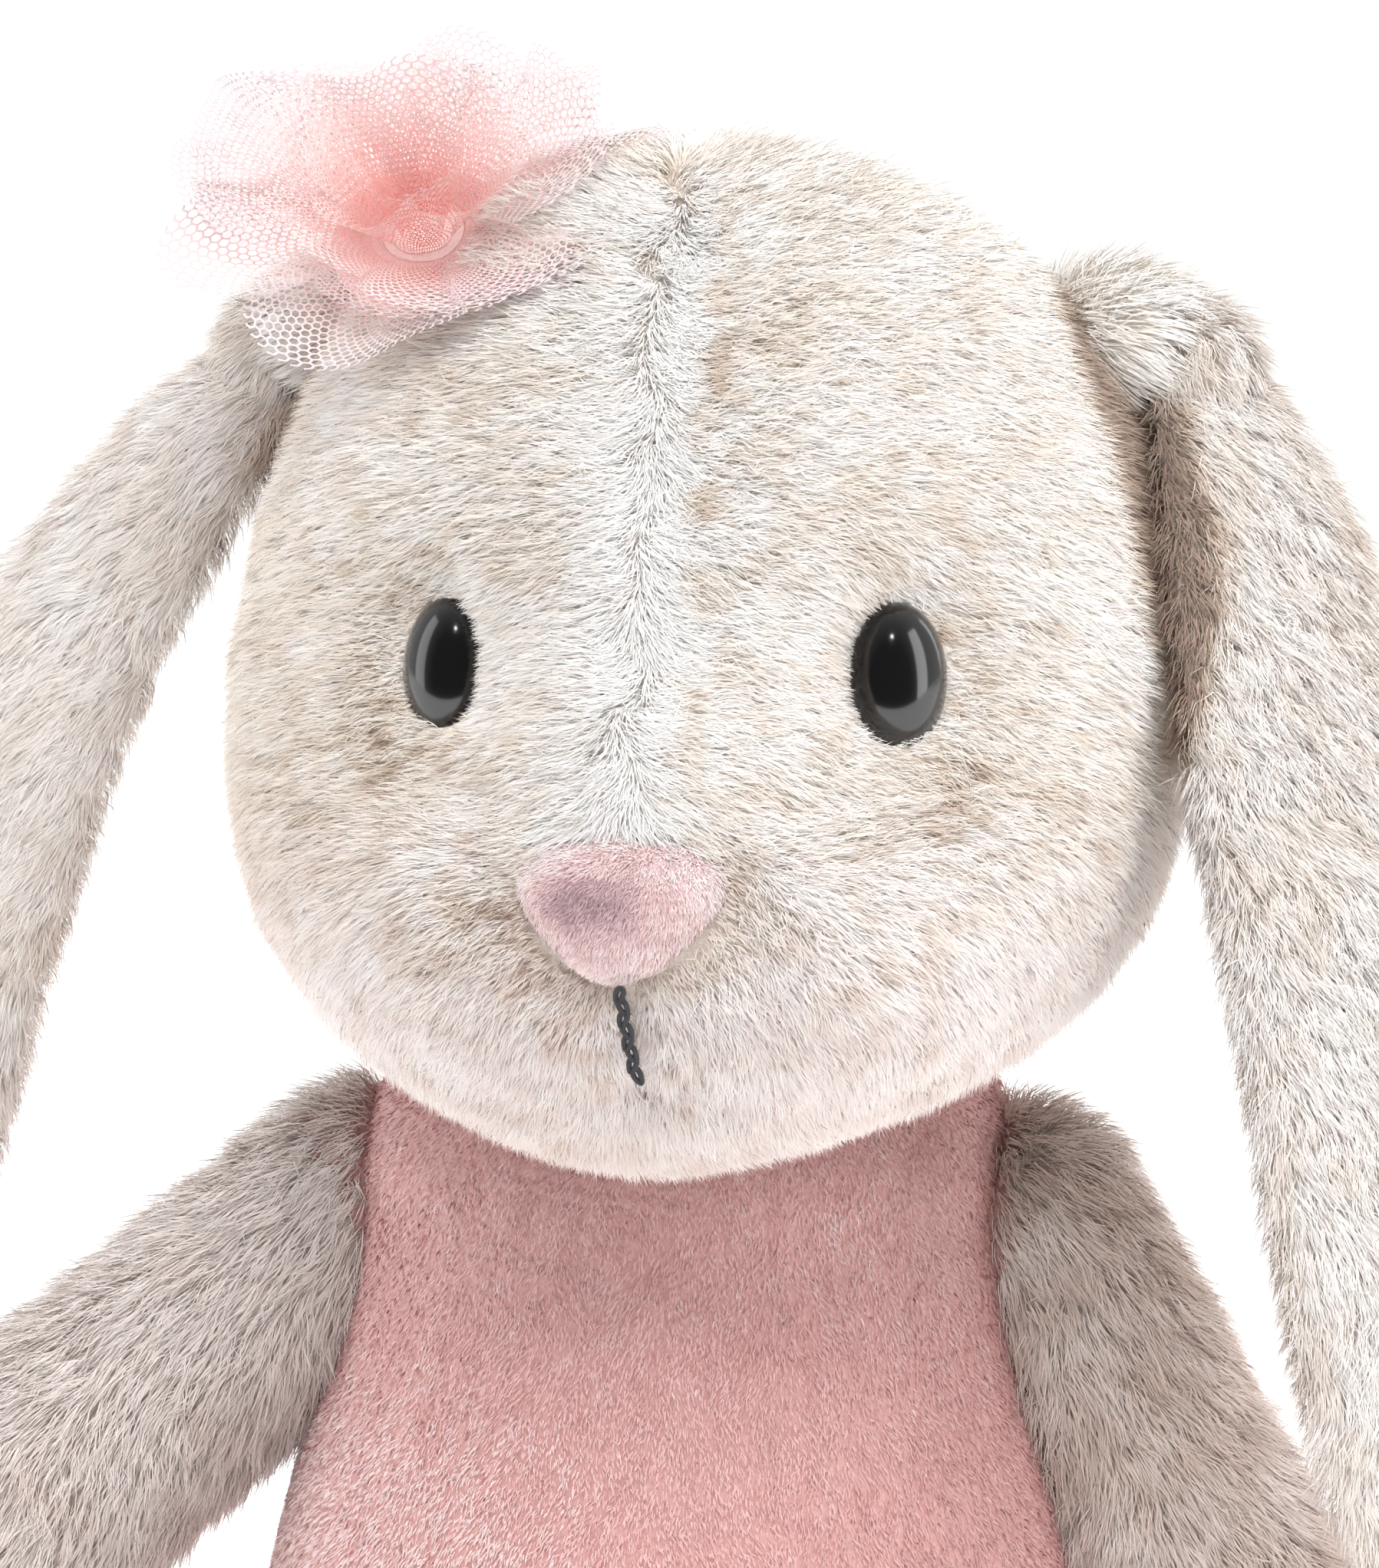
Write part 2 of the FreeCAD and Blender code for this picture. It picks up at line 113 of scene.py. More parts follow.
# Ears: the middle line of each flap from root to tip, and its width direction at root and tip
EAR_HALF_WIDTHS = (6.0, 11.5, 15.0, 17.5, 19.5, 20.0, 17.5, 12.5, 4.0)
EAR_LINES = {
    "left": (
        (54.5, 4.0, 173.0), (60.0, 1.0, 162.0), (65.0, -4.0, 149.0), (70.0, -11.0, 134.0),
        (77.0, -18.0, 115.0), (83.0, -25.0, 95.0), (86.0, -31.0, 76.0), (87.5, -34.0, 58.0),
        (88.0, -35.0, 48.0),
    ),
    "right": (
        (-45.5, 9.0, 173.0), (-55.0, 10.5, 163.0), (-67.0, 15.0, 149.0), (-78.0, 21.0, 134.0),
        (-87.0, 28.0, 118.0), (-95.0, 34.5, 101.0), (-100.0, 39.5, 84.0), (-102.5, 43.5, 69.0),
        (-103.5, 45.5, 60.0),
    ),
}
EAR_WIDES = {
    "left": ((0.50, 0.87, 0.0), (0.80, 0.60, 0.0)),
    "right": ((-0.70, 0.71, 0.0), (-0.85, 0.53, 0.0)),
}
EAR_OUT = 5.0
EAR_IN = 2.6
STUBS = {"left": np.array((47.0, 4.0, 175.5)), "right": np.array((-38.0, 8.5, 175.5))}
STUB_HALF = np.array((9.5, 9.5, 7.5))
EAR_BALL = 6.8

# Rosette
ROSETTE = np.array((-25.5, -15.0, 187.0))
ROSETTE_AIM = np.array((0.0, -0.72, 0.69))
TULLE_WIDE = 18.0
TULLE_LENGTH = 540.0
BUD_LENGTH = 54.0
MESH_PITCH = 0.88
THREAD_HALF = 0.10


# ---- numbers

def unit(v):
    return v / np.maximum(np.linalg.norm(v, axis=-1, keepdims=True), 1e-9)


def ease(x, low, high):
    """0 below low, 1 above high, smooth between."""
    t = np.clip((x - low) / (high - low), 0.0, 1.0)
    return t * t * (3.0 - 2.0 * t)


def fade(x, low, high):
    """1 below low, 0 above high, smooth between."""
    return 1.0 - ease(x, low, high)


def hill(x, centre, size):
    """A soft hill of height 1 along one axis."""
    return np.exp(-0.5 * ((x - centre) / size) ** 2)


def bump_at(p, centre, sizes):
    """A soft hill of height 1 at centre, with a size along each axis."""
    return np.exp(-0.5 * (((p - np.array(centre)) / np.array(sizes)) ** 2).sum(-1))


lattice = rng.random((32, 32, 32))


def clouds(p, size, shift=0):
    """Smooth random values from -1 to 1, with features of the given size."""
    q = p / size + 7.31 * shift
    cell = np.floor(q).astype(int)
    f = q - cell
    f = f * f * (3.0 - 2.0 * f)
    total = np.zeros(len(p))
    for corner in range(8):
        step = np.array((corner & 1, corner >> 1 & 1, corner >> 2 & 1))
        weight = np.where(step, f, 1.0 - f).prod(1)
        i = (cell + step) % 32
        total += weight * lattice[i[:, 0], i[:, 1], i[:, 2]]
    return 2.0 * total - 1.0


def smooth_rows(rows, where):
    """Points of a smooth curve through the rows, at fractional row numbers."""
    rows = np.asarray(rows, float)
    last = len(rows) - 1
    i = np.clip(np.floor(where).astype(int), 0, last - 1)
    t = (where - i)[:, None]
    a, b, c, d = (rows[np.clip(i + k, 0, last)] for k in (-1, 0, 1, 2))
    square = 2 * a - 5 * b + 4 * c - d
    cube = 3 * b - a - 3 * c + d
    return 0.5 * (2 * b + (c - a) * t + square * t ** 2 + cube * t ** 3)


def frame_to(aim):
    """Columns across, along aim's lift, and aim itself."""
    aim = unit(np.array(aim, float))
    side = unit(np.cross((0.0, 0.0, 1.0), aim))
    return np.stack((side, np.cross(aim, side), aim), 1)


# ---- materials

def plain(name, colour, roughness=0.6, **more):
    """A material of one colour, for strands and threads."""
    material = bpy.data.materials.new(name)
    material.use_nodes = True
    shader = material.node_tree.nodes["Principled BSDF"]
    shader.inputs["Base Color"].default_value = (*colour, 1.0)
    shader.inputs["Roughness"].default_value = roughness
    for socket, value in more.items():
        shader.inputs[socket.replace("_", " ")].default_value = value
    return material


def add_node(tree, kind, **values):
    node = tree.nodes.new(kind)
    for socket, value in values.items():
        node.inputs[socket.replace("_", " ")].default_value = value
    return node


def shades(family, colours, roughness=0.6):
    """A material for each named colour, from dark to light."""
    return [plain(family + "_" + name, colour, roughness) for name, colour in colours.items()]


def cloth(name, dark, light, size, stretch=(1.0, 1.0, 1.0), **more):
    """A cloth of two shades in soft mottling, with a fine raised grain."""
    material = plain(name, light, 0.85, **more)
    tree = material.node_tree
    link = tree.links.new
    shader = tree.nodes["Principled BSDF"]
    place = add_node(tree, "ShaderNodeTexCoord")
    scale = add_node(tree, "ShaderNodeMapping", Scale=stretch)
    link(place.outputs["Object"], scale.inputs["Vector"])
    broad = add_node(tree, "ShaderNodeTexNoise", Scale=1.0 / (size * MM), Detail=5.0, Roughness=0.65)
    fine = add_node(tree, "ShaderNodeTexNoise", Scale=1.0 / (GRAIN * MM), Detail=3.0, Roughness=0.7)
    for node in (broad, fine):
        link(scale.outputs["Vector"], node.inputs["Vector"])
    half = add_node(tree, "ShaderNodeMath")
    half.operation = "MULTIPLY"
    half.inputs[1].default_value = 0.5
    link(broad.outputs["Fac"], half.inputs[0])
    blend = add_node(tree, "ShaderNodeMath")
    blend.operation = "MULTIPLY_ADD"
    blend.inputs[1].default_value = 0.5
    link(fine.outputs["Fac"], blend.inputs[0])
    link(half.outputs["Value"], blend.inputs[2])
    ramp = add_node(tree, "ShaderNodeValToRGB")
    for stop, position, colour in zip(ramp.color_ramp.elements, (0.36, 0.62), (dark, light)):
        stop.position = position
        stop.color = (*colour, 1.0)
    link(blend.outputs["Value"], ramp.inputs["Fac"])
    link(ramp.outputs["Color"], shader.inputs["Base Color"])
    relief = add_node(tree, "ShaderNodeBump", Strength=0.3, Distance=0.4 * MM)
    link(fine.outputs["Fac"], relief.inputs["Height"])
    link(relief.outputs["Normal"], shader.inputs["Normal"])
    return material


# Pile shades from the tan root of a hair to its pale tip
FUR_SHADES = shades("pile", {
    "umber": (0.42, 0.32, 0.25), "tan": (0.67, 0.545, 0.435), "sand": (0.80, 0.705, 0.60),
    "beige": (0.875, 0.81, 0.735), "cream": (0.92, 0.875, 0.825), "milk": (0.94, 0.92, 0.895),
    "white": (0.97, 0.96, 0.945),
})
# Pink-tinted copies of the pile shades: painted pink light bounced from the body
PINK_BOUNCE_SHADES = shades("blush", {
    "umber": (0.43, 0.28, 0.24), "tan": (0.64, 0.49, 0.43), "sand": (0.80, 0.66, 0.61),
    "beige": (0.88, 0.765, 0.735), "cream": (0.93, 0.84, 0.82), "milk": (0.955, 0.88, 0.865),
    "white": (0.975, 0.92, 0.91),
})
# Pile shades of the arms: the pile shades darkened and tinted pink, painted shade and painted pink light
# bounced from the body
ARM_SHADE_AND_BOUNCE_SHADES = shades("arm", {
    "umber": (0.38, 0.25, 0.205), "tan": (0.52, 0.38, 0.32), "sand": (0.64, 0.50, 0.435),
    "beige": (0.74, 0.615, 0.555), "cream": (0.82, 0.72, 0.67), "milk": (0.89, 0.82, 0.785),
})
ROSE_SHADES = shades("nap", {
    "wine": (0.50, 0.235, 0.215), "rose": (0.62, 0.33, 0.315), "pink": (0.72, 0.425, 0.41),
    "petal": (0.79, 0.49, 0.475), "blush": (0.86, 0.58, 0.565), "pearl": (0.93, 0.74, 0.73),
}, 0.8)
NOSE_SHADES = shades("nose", {
    "mauve": (0.48, 0.33, 0.36), "rose": (0.68, 0.48, 0.50), "pink": (0.84, 0.62, 0.62),
    "pale": (0.93, 0.78, 0.77), "rim": (0.95, 0.86, 0.85),
}, 0.8)
UNDERFUR = cloth("underfur", (0.64, 0.55, 0.47), (0.82, 0.76, 0.70), 3.0)
VELOUR = cloth("velour", (0.56, 0.28, 0.27), (0.74, 0.44, 0.42), 1.6, (1.0, 1.0, 0.55), Sheen_Weight=0.25)
NOSE_CLOTH = cloth("nose_cloth", (0.62, 0.44, 0.46), (0.88, 0.68, 0.67), 1.8, Sheen_Weight=0.3)
LINING_CLOTH = cloth("lining_cloth", (0.62, 0.50, 0.45), (0.86, 0.76, 0.71), 2.0)
FELT = cloth("felt_cloth", (0.85, 0.62, 0.60), (0.95, 0.76, 0.73), 1.0)
BAND = cloth("band_cloth", (0.40, 0.22, 0.21), (0.55, 0.33, 0.31), 1.0)
GLOSS = plain("eye_gloss", (0.004, 0.004, 0.0045), 0.16, Coat_Weight=0.7, Coat_Roughness=0.09)
THREAD = plain("mouth_thread", (0.035, 0.035, 0.04), 0.7)
THREAD_LIGHT = plain("mouth_thread_light", (0.16, 0.15, 0.155), 0.7)
SEAM_THREAD = plain("seam_thread", (0.62, 0.36, 0.35), 0.7)
TULLE_SHADES = shades("tulle", {
    "coral": (0.84, 0.33, 0.29), "salmon": (0.86, 0.47, 0.44), "pink": (0.83, 0.56, 0.54),
    "blush": (0.79, 0.62, 0.62), "pale": (0.72, 0.61, 0.63),
}, 0.5)


# ---- meshes

def make(name, body, verts, faces, materials, node=None, smooth=True, picks=None, normals=None):
    """A mesh of triangles that rides on a body, in place of one CAD node or several."""
    mesh = bpy.data.meshes.new(name)
    corners = np.asarray(faces, np.int32).ravel()
    count = len(faces)
    mesh.vertices.add(len(verts))
    mesh.vertices.foreach_set("co", (np.asarray(verts) * MM).astype(np.float32).ravel())
    mesh.loops.add(3 * count)
    mesh.loops.foreach_set("vertex_index", corners)
    mesh.polygons.add(count)
    mesh.polygons.foreach_set("loop_start", 3 * np.arange(count, dtype=np.int32))
    mesh.polygons.foreach_set("use_smooth", np.full(count, smooth))
    for material in materials:
        mesh.materials.append(material)
    if picks is not None:
        mesh.polygons.foreach_set("material_index", np.asarray(picks, np.int32))
    mesh.update(calc_edges=True)
    if normals is not None:
        layer = mesh.attributes.new("custom_normal", "FLOAT_VECTOR", "POINT")
        layer.data.foreach_set("vector", np.asarray(normals, np.float32).ravel())
    obj = bpy.data.objects.new(name, mesh)
    bpy.context.scene.collection.objects.link(obj)
    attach(obj, body)
    for one in [node] if isinstance(node, str) else node or ():
        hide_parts(one)
    return obj


def vertex_normals(verts, faces):
    """Smooth outward normals of a surface of triangles."""
    a, b, c = (verts[faces[:, k]] for k in range(3))
    each = np.cross(b - a, c - a)
    total = np.zeros_like(verts)
    for k in range(3):
        np.add.at(total, faces[:, k], each)
    return unit(total)


def wrap(grid, low_pole=None, high_pole=None):
    """A surface closed round its columns, with its ends drawn to points. Returns points and triangles."""
    rows, cols = grid.shape[:2]
    verts = grid.reshape(-1, 3)
    r, c = np.meshgrid(np.arange(rows - 1), np.arange(cols), indexing="ij")
    here = (r * cols + c).ravel()
    beside = (r * cols + (c + 1) % cols).ravel()
    faces = [
        np.stack((here, beside, beside + cols), 1),
        np.stack((here, beside + cols, here + cols), 1),
    ]
    ring = np.arange(cols)
    if low_pole is not None:
        verts = np.vstack((verts, low_pole))
        faces.append(np.stack((np.full(cols, len(verts) - 1), (ring + 1) % cols, ring), 1))
    if high_pole is not None:
        verts = np.vstack((verts, high_pole))
        top = (rows - 1) * cols
        faces.append(np.stack((np.full(cols, len(verts) - 1), top + ring, top + (ring + 1) % cols), 1))
    return verts, np.vstack(faces)


def strip(grid):
    """An open surface of rows and columns. Returns points and triangles."""
    rows, cols = grid.shape[:2]
    r, c = np.meshgrid(np.arange(rows - 1), np.arange(cols - 1), indexing="ij")
    here = (r * cols + c).ravel()
    return grid.reshape(-1, 3), np.vstack((
        np.stack((here, here + 1, here + 1 + cols), 1),
        np.stack((here, here + 1 + cols, here + cols), 1),
    ))


def tube(points, radii, sides=10):
    """A closed round tube along points."""
    points = np.asarray(points, float)
    ahead = unit(np.gradient(points, axis=0))
    lift = np.array((0.0, 0.0, 1.0)) if abs(ahead[0, 2]) < 0.9 else np.array((1.0, 0.0, 0.0))
    side = unit(np.cross(ahead, lift))
    up = np.cross(side, ahead)
    turn = np.linspace(0, 2 * pi, sides, endpoint=False)
    radii = np.broadcast_to(radii, len(points))[:, None, None]
    grid = points[:, None] + radii * (
        np.cos(turn)[None, :, None] * side[:, None] + np.sin(turn)[None, :, None] * up[:, None]
    )
    return wrap(grid[:, ::-1], points[0], points[-1])


def cut(verts, faces, mask):
    """The part of a surface whose faces are picked by the mask."""
    used, inverse = np.unique(faces[mask], return_inverse=True)
    return verts[used], inverse.reshape(-1, 3)


def ball_grid(rows, cols, margin):
    """Points of a unit ball from its low pole to its high one, stopping a small angle short of each."""
    lift = np.linspace(-pi / 2 + margin, pi / 2 - margin, rows)
    turn = np.linspace(0, 2 * pi, cols, endpoint=False)
    l, t = np.meshgrid(lift, turn, indexing="ij")
    return np.stack((np.cos(l) * np.cos(t), np.cos(l) * np.sin(t), np.sin(l)), -1)


def ball(centre, half, rows, cols, margin):
    """A closed ellipsoid with a half size along each axis."""
    pole = np.array((0.0, 0.0, half[2]))
    return wrap(centre + half * ball_grid(rows, cols, margin), centre - pole, centre + pole)


def joined(parts):
    """Several surfaces of triangles as one."""
    verts, faces, base = [], [], 0
    for v, f in parts:
        verts.append(v)
        faces.append(f + base)
        base += len(v)
    return np.vstack(verts), np.vstack(faces)


# ---- pile

def scattered(verts, faces, count, weight=None):
    """Random points on a surface, with their normals. weight gives how thickly they stand at a point."""
    normals = vertex_normals(verts, faces)
    a, b, c = (verts[faces[:, k]] for k in range(3))
    area = 0.5 * np.linalg.norm(np.cross(b - a, c - a), axis=1)
    if weight is not None:
        area = area * weight((a + b + c) / 3.0)
    chosen = np.searchsorted(np.cumsum(area), rng.random(count) * area.sum())
    chosen = np.minimum(chosen, len(faces) - 1)
    u, v = rng.random(count), rng.random(count)
    over = u + v > 1.0
    u[over], v[over] = 1.0 - u[over], 1.0 - v[over]
    w = np.stack((1.0 - u - v, u, v), 1)[:, :, None]
    pick = faces[chosen]
    return (verts[pick] * w).sum(1), unit((normals[pick] * w).sum(1))


def pile(name, body, roots, normals, flow, length, width, level, tones,
         clump=2.0, pull=0.45, rise=(58.0, 26.0), wild=0.22, contrast=0.8, stand=0.0,
         other=(), mixed=0.0):
    """Strands of pile. flow is the way they are combed, level the shade of their tips from 0 to 1,
    and stand how far they rise from the usual lie. The share mixed takes its shades from other."""
    count = len(roots)
    comb = unit(flow - (flow * normals).sum(1, keepdims=True) * normals)
    comb = unit(comb + wild * rng.normal(size=(count, 3)))
    comb = unit(comb - (comb * normals).sum(1, keepdims=True) * normals)
    length = np.broadcast_to(length, count) * rng.uniform(0.72, 1.18, count)
    low, high = (radians(x) for x in rise)
    swing = rng.normal(0.0, 0.16, count) + radians(40.0) * stand
    reach = length[:, None]
    up = (low + swing)[:, None]
    middle = roots + 0.5 * reach * (comb * np.cos(up) + normals * np.sin(up))
    up = (high + swing)[:, None]
    tips = middle + 0.55 * reach * (comb * np.cos(up) + normals * np.sin(up))
    if clump:
        stride = max(int(clump * clump * 1.6 * count / max(spread_area(roots), 1.0)), 2)
        leads = np.arange(0, count, stride)
        tree = kdtree.KDTree(len(leads))
        for k, lead in enumerate(leads):
            tree.insert(roots[lead], k)
        tree.balance()
        nearest = leads[[tree.find(p)[1] for p in roots]]
        share = (pull * rng.uniform(0.3, 1.0, count))[:, None]
        near = (np.linalg.norm(roots[nearest] - roots, axis=1) < 2.5 * clump)[:, None]
        share = share * near
        tips = tips + share * (tips[nearest] - tips)
        middle = middle + 0.4 * share * (middle[nearest] - middle)
    ahead = unit(tips - roots)
    side = unit(np.cross(ahead, normals) + 0.35 * rng.normal(size=(count, 3)))
    side = unit(side - (side * ahead).sum(1, keepdims=True) * ahead)
    facing = unit(np.cross(side, ahead))
    outward = np.where((facing * normals).sum(1, keepdims=True) < 0.0, -1.0, 1.0)
    side, facing = side * outward, facing * outward
    half = (0.5 * np.broadcast_to(width, count) * rng.uniform(0.7, 1.25, count))[:, None]
    verts = np.stack((
        roots - side * half, roots + side * half,
        middle + side * half * 0.85, middle - side * half * 0.85, tips,
    ), 1).reshape(-1, 3)
    verts[:, 2] = np.maximum(verts[:, 2], STAND_OFF)
    base = 5 * np.arange(count)[:, None]
    faces = np.stack((base + (0, 1, 2), base + (0, 2, 3), base + (3, 2, 4)), 1).reshape(-1, 3)
    shading = unit(0.85 * normals + 0.35 * facing)
    top = np.clip((level + rng.normal(0, 0.05, count)) * len(tones), 0, len(tones) - 1).astype(int)
    bottom = np.clip(top - (rng.random(count) < contrast), 0, None)
    picks = np.stack((bottom, bottom, top), 1)
    if other:
        picks = picks + len(tones) * (rng.random(count) < mixed)[:, None]
        tones = tones + other
    picks = picks.ravel()
    step = 60000
    for number, start in enumerate(range(0, count, step)):
        stop = min(start + step, count)
        obj = make(
            name + "_" + str(number + 1), body, verts[5 * start:5 * stop],
            faces[3 * start:3 * stop] - 5 * start, tones, picks=picks[3 * start:3 * stop],
            normals=np.repeat(shading[start:stop], 5, axis=0),
        )


def spread_area(points):
    """Rough area that scattered points cover, from the box cells that they fill."""
    cells = np.unique(np.floor(points / 3.0).astype(int), axis=0)
    return 9.0 * len(cells)


# ---- head

def head_base(where, turn):
    """Points of the head before it is sculpted, for ring numbers and turns from the back."""
    row = smooth_rows(HEAD_RINGS, where)
    middle = 0.5 * (row[:, 2] + row[:, 3])
    depth = 0.5 * (row[:, 3] - row[:, 2])
    power = np.where(np.cos(turn) > 0, 1.0, 2.0 / FACE_POWER)
    across = np.sign(np.sin(turn)) * np.abs(np.sin(turn)) ** power
    along = np.sign(np.cos(turn)) * np.abs(np.cos(turn)) ** power
    return HEAD + np.stack((row[:, 1] * across, middle + depth * along, row[:, 0]), 1)


def seam_shift(z):
    """How far the front seam wanders from the middle at a height above the chin."""
    return 1.8 * hill(z, 56.0, 15.0)


def sculpted(p, n):
    """The head's swellings and dents: cheeks, muzzle, eye sockets, seams and neck."""
    q = p - HEAD
    x, z = q[:, 0], q[:, 2]
    front = ease(-q[:, 1], 5.0, 25.0)
    out = np.zeros(len(p))
    for side in (-1.0, 1.0):
        out += 3.2 * front * bump_at(q, (side * 18.0, -48.0, 24.0), (12.0, 30.0, 10.0))
        out -= 5.4 * front * bump_at(q, (1.75 + side * 23.2, -36.0, 51.5), (7.5, 30.0, 9.5))
        out -= 2.6 * front * bump_at(q, (side * 24.0, -44.0, 41.0), (9.0, 30.0, 3.6))
        out += 1.8 * front * bump_at(q, (side * 21.0, -36.0, 68.0), (13.0, 30.0, 8.0))
    out += 2.6 * front * bump_at(q, (0.8, -54.0, 43.0), (7.0, 30.0, 10.0))
    out -= 3.4 * front * bump_at(q, (0.0, -54.0, 30.0), (10.0, 30.0, 7.0))
    seam = front * hill(x, seam_shift(z), 1.5) * ease(z, 33.0, 42.0)
    out -= 0.3 * seam + 0.7
    out -= 1.2 * front * hill(x, 1.4, 1.6) * ease(z, 6.0, 11.0) * fade(z, 20.0, 24.0)
    back = fade(np.abs(q[:, 1] - 8.0), 0.0, 2.6)
    out -= 1.1 * back
    out += 0.5 * clouds(p, 9.0) + 0.35 * clouds(p, 4.0, 1)
    p = p + n * out[:, None]
    away = p - NECK
    reach = np.linalg.norm(away, axis=1, keepdims=True)
    inside = reach < HOLLOW_R
    return np.where(inside, NECK + away / np.maximum(reach, 1e-6) * HOLLOW_R, p)


def head_surface():
    rows, cols = 170, 220
    where = np.linspace(0.0, len(HEAD_RINGS) - 1.0, rows)
    turn = np.linspace(0.0, 2 * pi, cols, endpoint=False)
    w, t = np.meshgrid(where, turn, indexing="ij")
    grid = head_base(w.ravel(), t.ravel()).reshape(rows, cols, 3)[:, ::-1]
    verts, faces = wrap(grid, HEAD + (0.0, -30.0, 0.3), HEAD + (0.0, 1.7, 106.6))
    return sculpted(verts, vertex_normals(verts, faces)), faces


def near_eye(p):
    """Distance from the nearer eye, as a share of the eye's half size."""
    best = np.full(len(p), 9.0)
    for name, seat in EYE_SEATS.items():
        axes = frame_to(EYE_AIMS[name])
        local = (p - seat) @ axes
        away = np.sqrt((local[:, 0] / EYE_HALF[0]) ** 2 + (local[:, 1] / EYE_HALF[2]) ** 2)
        away = np.where(np.abs(local[:, 2]) > 16.0, 9.0, away)
        best = np.minimum(best, away)
    return best


def near_nose(p):
    """Distance from the middle of the nose, as a share of its half size."""
    x = (p[:, 0] - NOSE[0]) / NOSE_HALF_W
    z = (p[:, 2] - NOSE[2]) / NOSE_HALF_H
    away = np.sqrt(x * x + z * z * 0.9)
    return np.where(p[:, 1] > -40.0, 9.0, away)


def build_head():
    verts, faces = head_surface()
    centres = verts[faces].mean(1)
    left = (centres[:, 0] >= HEAD[0]) & (centres[:, 1] < HEAD[1] + 8.0)
    right = (centres[:, 0] < HEAD[0]) & (centres[:, 1] < HEAD[1] + 8.0)
    back = ~(left | right)
    for name, mask in (("left", left), ("right", right), ("back", back)):
        nodes = ["head_plush_" + name] + (["head_stuffing"] if name == "back" else [])
        obj = make("head_skin_" + name, "head", *cut(verts, faces, mask), [UNDERFUR], nodes)

    def open_skin(p):
        q = p - HEAD
        clear = np.linalg.norm(p - NECK, axis=1) > HOLLOW_R + 0.4
        mouth = (np.abs(p[:, 0] - MOUTH_X) > 0.45) | (q[:, 1] > -40)
        mouth |= (p[:, 2] > MOUTH_TOP + 1) | (p[:, 2] < MOUTH_LOW)
        stub = np.ones(len(p), bool)
        for centre in STUBS.values():
            stub &= np.linalg.norm((p - centre) / STUB_HALF, axis=1) > 0.95
        rose = np.linalg.norm(p - ROSETTE, axis=1) > 9.0
        outer_corner = ease(np.abs(p[:, 0] - EYES_MID_X), 22.0, 25.0)
        eyes = near_eye(p) > 0.98 - 0.30 * outer_corner
        return clear & mouth & stub & rose & eyes & (near_nose(p) > 0.86)

    def thick(p):
        front = ease(-(p[:, 1] - HEAD[1]), -12.0, 8.0)
        seam = hill(p[:, 0] - HEAD[0], 0.8, 2.5) * front
        return (0.36 + 0.64 * front + 0.9 * seam) * open_skin(p)

    roots, normals = scattered(verts, faces, FUR_HEAD, thick)
    keep = open_skin(roots)
    roots, normals = roots[keep], normals[keep]
    q = roots - HEAD
    high = q[:, 2]
    from_seam = q[:, 0] - seam_shift(high)
    side = np.tanh((from_seam + 1.6 + 2.2 * clouds(roots, 3.0, 7)) / 2.0)
    outward = 0.30 + 0.62 * ease(high, 8.0, 34.0) + 0.25 * ease(high, 60.0, 90.0)
    down = 0.95 - 0.42 * ease(high, 20.0, 55.0)
    rear = ease(q[:, 1], -5.0, 25.0)
    outward = outward * (0.55 + 0.45 * ease(np.abs(from_seam), 1.0, 7.0))
    flow = np.stack((side * outward * (1 - 0.6 * rear), 0.25 + 0 * side, -down), 1)
    flow[:, 0] += 0.35 * clouds(roots, 7.0, 2)
    flow[:, 2] += 0.25 * clouds(roots, 6.0, 3)
    front = ease(-q[:, 1], 5.0, 25.0)
    length = 3.7 - 0.5 * front * ease(-high, -34.0, -8.0)
    length *= (0.45 + 0.55 * ease(near_eye(roots), 1.0, 1.9))
    over = ease(roots[:, 2] - NOSE[2], 2.0, 6.0)
    length *= (0.5 + 0.5 * np.maximum(ease(near_nose(roots), 0.95, 1.5), over))
    mouth = np.abs(roots[:, 0] - MOUTH_X)
    mouth = mouth + 30.0 * ((roots[:, 2] > MOUTH_TOP + 2) | (roots[:, 2] < MOUTH_LOW - 1))
    length *= (0.6 + 0.4 * ease(mouth, 0.8, 4.0))
    seam = front * hill(from_seam, 0.0, 5.0) * ease(high, 30.0, 40.0)
    stretched = roots * np.array((0.6, 0.8, 1.0))
    flecks = 0.75 * clouds(stretched, 1.5, 4) + 0.5 * clouds(stretched, 3.6, 5)
    flecks = flecks + 0.3 * clouds(roots, 12.0, 6)
    level = 0.66 + 0.22 * flecks + 0.2 * seam
    spots = ease(clouds(roots * np.array((0.55, 0.7, 1.0)), 1.15, 10), 0.18, 0.62)
    level -= 0.28 * spots * front * (0.35 + 0.65 * ease(clouds(roots, 9.0, 16), -0.2, 0.4))
    beside = hill(from_seam, 3.2, 1.4) * front * ease(high, 36.0, 44.0)
    level -= 0.5 * beside * ease(clouds(roots, 2.6, 17), -0.1, 0.35)
    # Painted shadow in the fur round the nose, except where fur lies over its top
    level -= 0.22 * fade(near_nose(roots), 1.0, 1.3) * (1.0 - over)
    # Painted shade on the lower cheek of the -X side
    level -= 0.13 * bump_at(q, (-33.0, -30.0, 42.0), (9.0, 30.0, 12.0))
    # Painted shade down the head's -X side
    level -= 0.16 * ease(-q[:, 0], 36.0, 47.0)
    # Painted shadow on the head in front of each ear, where the ear hangs close
    for line in EAR_LINES.values():
        away = np.linalg.norm(roots[:, None] - np.array(line)[None, :6], axis=2)
        before = np.array(line)[np.argmin(away, axis=1), 1] - roots[:, 1]
        ear_shadow = fade(away.min(1), 17.0, 23.0) * ease(high, 30.0, 60.0) * ease(before, 0.0, 9.0)
        level -= 1.0 * ear_shadow
    ridge = hill(from_seam, 0.0, 2.4) * front * ease(high, 30.0, 40.0)
    level += 0.3 * ridge
